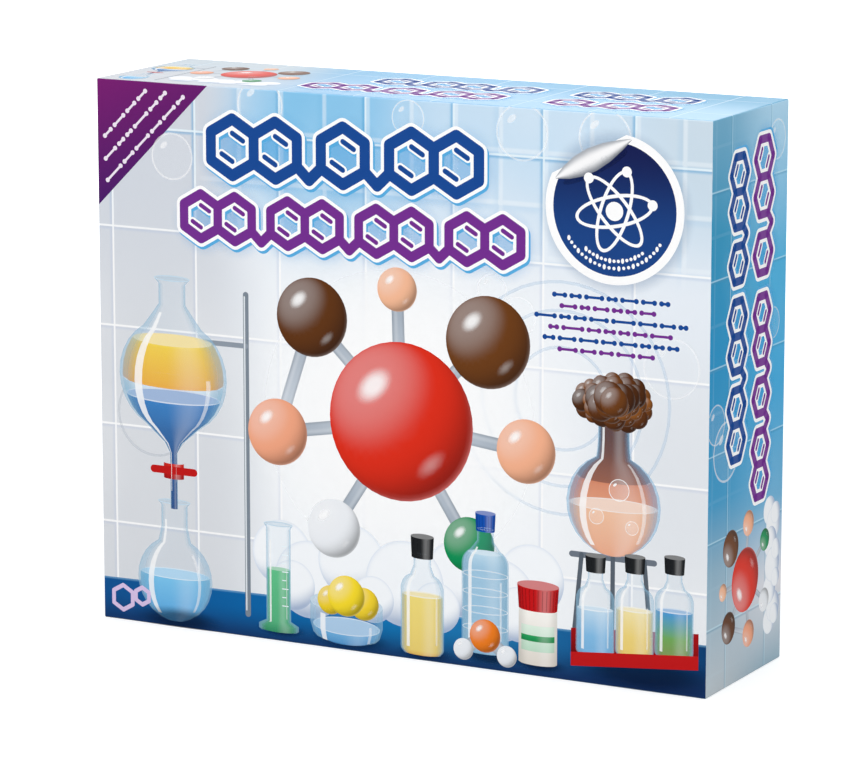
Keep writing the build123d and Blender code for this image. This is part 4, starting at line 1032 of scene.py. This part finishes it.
def bench_things(pen):
    """Small ware along the bench."""
    for u, v, reach in ((43, 4, 22), (104, 6, 12), (143, 6, 19), (186, 4, 13), (222, 7, 15), (250, 6, 12), (303, 9, 34)):
        pen.ground(u, v, reach)
    pen.lift()
    cylinder = pen.at(104, 6, 1.05)
    cylinder.vessel([(11, 0), (11, 2.5), (6.8, 4.5), (6.8, 50), (8, 52)], [(30, "#1c8a4c", "#5cc27e")])
    for step in range(8):
        cylinder.stroke([(2.2, 12 + 4.2 * step), (5.2 - step % 2, 12 + 4.2 * step)], 0.5, rgb("#e9f3f7"))
    pen.lift()
    dish = pen.at(143, 6, 0.9)
    dish.vessel([(16, 0), (21, 2), (23, 8), (23, 20)], [(7, "#2876b8", "#6db0e0")], sag=0.24)
    pen.marbles([(134, 25, 7.5, "#f0cf2a"), (153, 25, 8.5, "#f3d233")], 0.7)
    pen.marbles([(143, 28, 10.5, "#f7da2e")], 0.9)
    amber = pen.at(186, 4, 1.35)
    amber.vessel(BOTTLE, [(22, "#e8a51e", "#f9df6c")])
    amber.stopper(4.8, 36.0, 8.0, ribs=7)
    water = pen.at(221, 9)
    water.vessel(WATER_BOTTLE, [(50, "#6fa9cf", "#c3e0f1")])
    for step in range(4):
        water.hoop(0, 12 + 9 * step, 12.6, 2.2, 0.5, faded(WHITE, 0.5), soft=True)
    water.stopper(5.6, 61, 9, "#124fae", ribs=9)
    pen.lift()
    bonded_balls(pen, [(209, 9, 5.5, "#edf0f4"), (233, 8, 5.5, "#edf0f4"), (221, 17, 8.5, "#ee7d22")], [(0, 2), (1, 2)])
    jar = pen.at(250, 7)
    jar.turned([(10.5, 0), (10.5, 28)], liquid_shade("#e4ddd2", "#fbf8f2"), sag=0.15)
    pen.lift()
    jar.turned([(10.6, 7), (10.6, 20)], liquid_shade("#bfe0c8", "#e2f3e4"), sag=0.15, across=(-0.85, 0.85))
    pen.lift()
    jar.turned([(10.7, 12), (10.7, 15)], liquid_shade("#1c8a4c", "#2ba05d"), sag=0.15, across=(-0.85, 0.85))
    jar.stopper(11.4, 27, 12, "#c5161a", ribs=13)
    pen.lift()
    pen.patch([(268, 8), (336, 14), (336, 32), (268, 27)], lambda co: between(rgb("#5c0a0b"), rgb("#a01418"),
                                                                             ease(8, 30, co.y)), step=4)
    pen.lift()
    for u, low, mid, high in ((281, "#4f95cf", "#82bce6", "#bfdcf1"), (302, "#eebb3a", "#f6d66b", "#fae6a0"),
                              (323, "#b3261c", "#6da53a", "#3f95d2")):
        bottle = pen.at(u, 15 + (u - 281) * 0.09, 1.15)
        bottle.vessel(BOTTLE, [(9, low, mid), (20, mid, high)])
        bottle.stopper(4.8, 36.0, 7.0, ribs=7)
        pen.lift()
    pen.patch([(268, 8), (336, 14), (336, 21), (268, 15)], rgb("#c01a1c"))
    pen.lift()
    for u, v, radius in ((12, 12, 6.5), (23.5, 14, 4.5)):
        pen.stroke(hexagon(u, v, radius), 2.2, rgb("#d9c3e6"), closed=True)


def print_front(pen):
    for u, v, radius, strength in ((95, 272, 13, 0.6), (44, 243, 12, 0.6), (178, 271, 9, 0.6), (240, 268, 14, 0.5),
                                   (284, 268, 14, 0.6), (224, 190, 8, 0.35), (320, 160, 15, 0.3), (238, 178, 10, 0.3)):
        bubble(pen, u, v, radius, strength)
    for radius in (26, 44, 58):
        pen.hoop(262, 140, radius, radius, 1.6, faded(rgb("#8fb9dc"), 0.3), soft=True)
    pen.hoop(32, 110, 22, 22, 1.4, faded(rgb("#aab4c0"), 0.35), soft=True)
    pen.glow(172, 120, 100, WHITE, 0.8, 0.35)
    pen.lift()
    dripping_funnel(pen)
    foaming_flask(pen)
    great_model(pen)
    bench_things(pen)
    ring_chain(pen.at(67, 250), [1, 1, 0, 1, 0, 1, 1], 14.2, 5.8, INK_BLUE)
    ring_chain(pen.at(51, 214), [1, 1, 0, 1, 1, 0, 1, 1, 0, 1, 1], 11.3, 5.0, INK_PURPLE)
    badge(pen.at(289.5, 234.5))
    short_rows(pen.at(288, 191), (60, 52, 79, 64, 70, 54), 5.3, 7)
    short_rows(pen.at(17, 263, turn=45), (34, 50, 64), 8.4, 3, (rgb("#efe4f2"),), 1.2)


def print_side(pen):
    """Short side face: two chains that run up it, and the models small at the bottom."""
    for u, v, radius in ((20, 118, 15), (8, 133, 10), (74, 172, 8), (76, 262, 10)):
        bubble(pen, u, v, radius, 0.6)
    ring_chain(pen.at(31.5, 112, turn=90), [1, 1, 0, 1, 1], 9.8, 4.2, INK_BLUE)
    ring_chain(pen.at(31.5, 199, turn=90), [1, 0, 1, 1], 9.8, 4.2, INK_BLUE)
    ring_chain(pen.at(60.5, 88, turn=90), [1, 1, 0, 1, 0, 1, 1], 9.4, 4.2, INK_PURPLE)
    ring_chain(pen.at(60.5, 199, turn=90), [1, 0, 1, 1], 10.6, 4.2, INK_PURPLE)
    great_model(pen.at(92.5, -20, 0.4, turn=90))


def print_long_edge(pen):
    """Long narrow face: the models small at the left, then two chains."""
    ring_chain(pen.at(133, 57), [1, 0, 1, 1, 0, 1], 9.8, 4.2, INK_BLUE)
    ring_chain(pen.at(244, 57), [1, 1, 0, 1], 9.8, 4.2, INK_BLUE)
    ring_chain(pen.at(108, 27), [1, 1, 0, 1, 0, 1, 1], 10.0, 4.2, INK_PURPLE)
    ring_chain(pen.at(244, 27), [1, 0, 1, 1], 10.0, 4.2, INK_PURPLE)
    small = pen.at(0, 2, 0.36)
    dripping_funnel(small)
    great_model(small)


def printed_faces():
    ink = {}
    for kind in ("solid", "soft"):
        f = Finish(f"{kind}_ink", rough=0.32, Specular_IOR_Level=0.03)
        colour = f.add("ShaderNodeAttribute", {"attribute_name": "ink"}, "Color")
        f.set(Base_Color=colour)
        if kind == "soft":
            f.set(Alpha=Signal(f, colour.socket.node.outputs["Alpha"]))
        f.bump(f.noise(900.0, 2.0) + f.noise(35.0, 2.0) * 0.8, 0.12, 0.0001)
        ink[kind] = f.material
    lid_deep = LID_RIM - FRONT
    faces = [
        (Sheet("front", (-HALF_W, FRONT, 0), (1, 0, 0), (0, 0, 1), (CASE_W, TOP)), print_front),
        (Sheet("right_side", (HALF_W, FRONT, 0), (0, 1, 0), (0, 0, 1), (lid_deep, TOP)), print_side),
        (Sheet("left_side", (-HALF_W, LID_RIM, 0), (0, -1, 0), (0, 0, 1), (lid_deep, TOP)), print_side),
        (Sheet("top", (-HALF_W, FRONT, TOP), (1, 0, 0), (0, 1, 0), (CASE_W, lid_deep)), print_long_edge),
    ]
    for sheet, drawing in faces:
        drawing(Pen(sheet))
        sheet.finish(ink)


photo_camera()
studio()
dress_cad_pieces()
elastic_strap()
rubber = latex()
empty_balloon(1, rubber)
empty_balloon(2, rubber)
printed_faces()

bpy.context.scene.view_settings.view_transform = "Standard"
